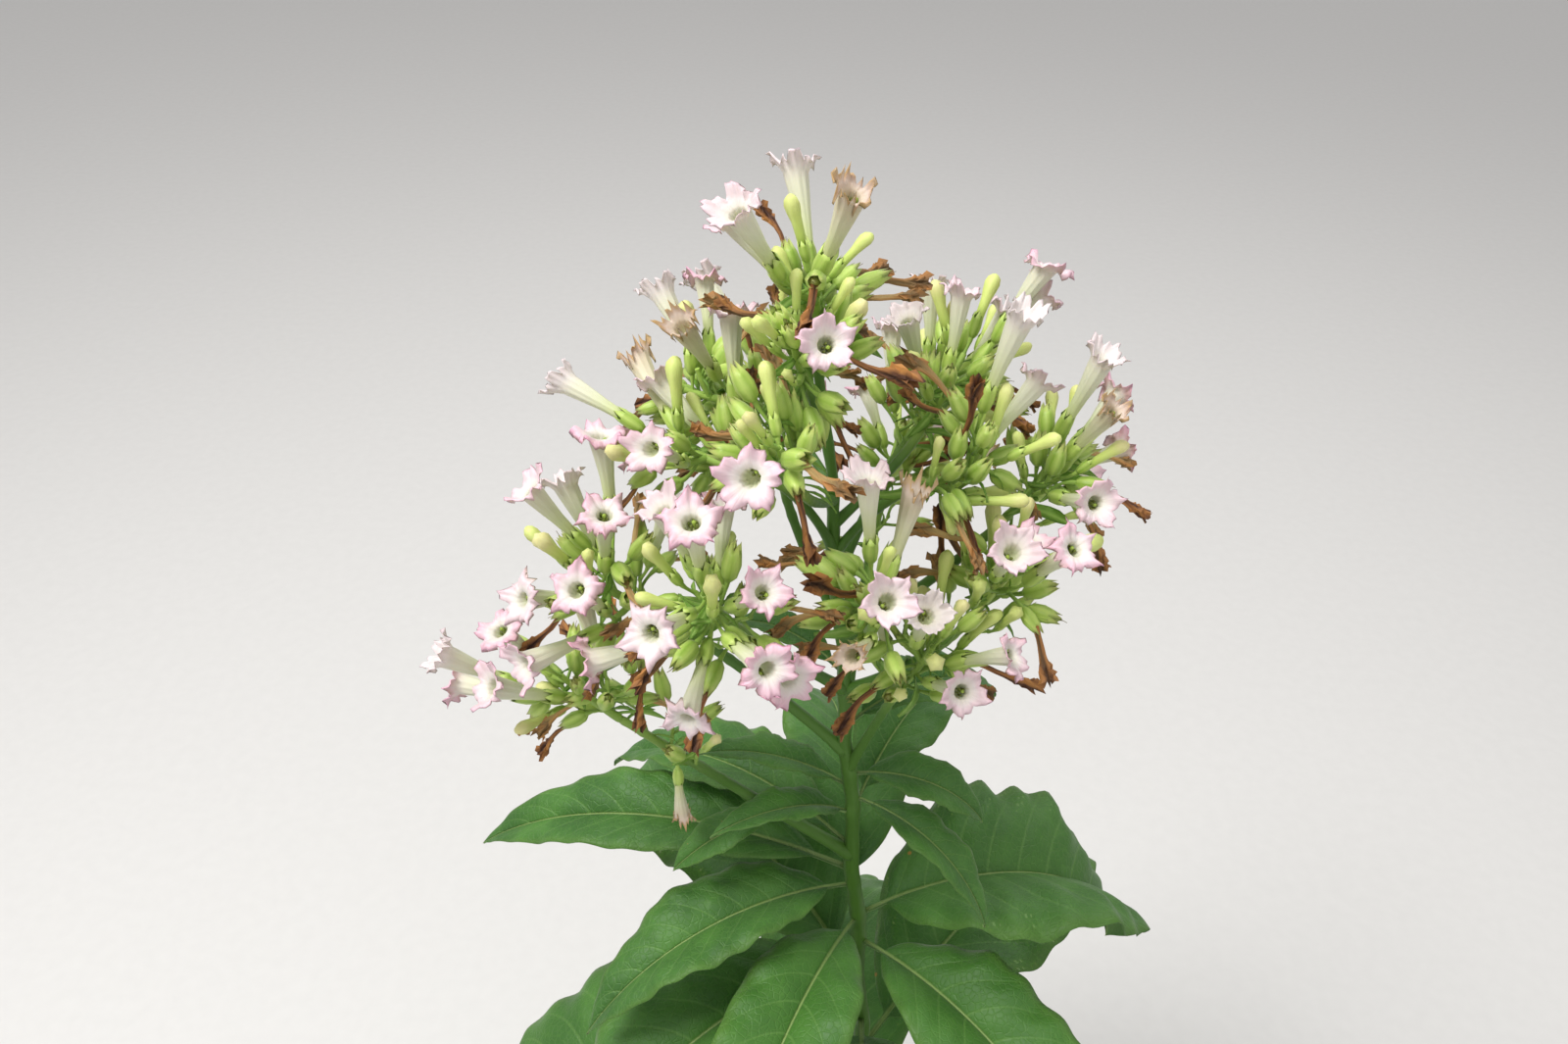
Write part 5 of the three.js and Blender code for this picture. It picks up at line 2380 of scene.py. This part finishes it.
@dataclass(frozen=True)
class Studio:
    """A pale floor, soft lights and the camera."""

    floor_half: float = 9000.0
    floor_height: float = -0.5
    floor_light: str = "e2e0dc"
    floor_dark: str = "dcdad6"
    floor_grain: float = 900.0
    eye: tuple[float, float, float] = (-0.1086, -0.51, 1.535)
    pitch: float = 37.0
    roll: float = 2.0
    lens: float = 28.0
    sensor: float = 36.0
    sky: tuple[float, float, float, float] = (0.98, 0.98, 1.0, 1.0)
    sky_strength: float = 0.55
    lamps: tuple[Lamp, ...] = (
        Lamp("key", 205, 60, 1.2, 95),
        Lamp("fill", 300, 38, 2.5, 16),
        Lamp("back", 70, 50, 1.8, 24),
    )

    def floor(self) -> Object:
        """Builds the floor, a fine grain on it.

        Returns:
            The floor, in no collection yet.
        """
        edge = np.array([-self.floor_half, self.floor_half])
        corners = np.stack(np.meshgrid(edge, edge) + [np.full((2, 2), self.floor_height)], axis=-1)
        piece = Draft().grid(corners, spread_uv(2, 1)).build("floor")
        paint = Paint("floor")
        grain = paint.noise(paint.signal("ShaderNodeUVMap", uv_map=ATLAS), self.floor_grain)
        colour = paint.mix(grain, self.floor_light, self.floor_dark)
        piece.data.materials.append(paint.finish(colour, 0.85, grain, 0.1, {}))
        return piece

    def camera(self) -> Object:
        """Builds the camera, which looks down past the plant as the photograph does.

        Returns:
            The camera, in no collection yet.
        """
        camera = bpy.data.cameras.new("view")
        camera.lens = self.lens
        camera.sensor_width = self.sensor
        viewer = bpy.data.objects.new("view", camera)
        ahead, above = toward(90, -self.pitch), toward(90, 90 - self.pitch)
        across = np.cross(ahead, above)
        roll = math.radians(self.roll)
        right = across * math.cos(roll) + above * math.sin(roll)
        columns = np.stack([right, np.cross(right, ahead), -ahead], axis=1)
        viewer.matrix_world = placed(columns, np.array(self.eye))
        return viewer

    def make(self) -> None:
        """Sets up the studio."""
        scene = bpy.context.scene
        floor, viewer = self.floor(), self.camera()
        for thing in (floor, viewer, *(lamp.make() for lamp in self.lamps)):
            scene.collection.objects.link(thing)
        scene.camera = viewer
        scene.view_settings.view_transform = "Standard"
        scene.world = bpy.data.worlds.new("studio")
        scene.world.use_nodes = True
        background = scene.world.node_tree.nodes["Background"]
        background.inputs["Color"].default_value = self.sky
        background.inputs["Strength"].default_value = self.sky_strength


def main() -> None:
    """Sets up the studio, makes the limbs, and grows and makes the crown."""
    Studio().make()
    Limbs().make()
    crown = Crown()
    crown.grow()
    crown.make()


if __name__ == "__main__":
    logging.basicConfig(level=logging.INFO, format="%(name)s: %(message)s")
    main()
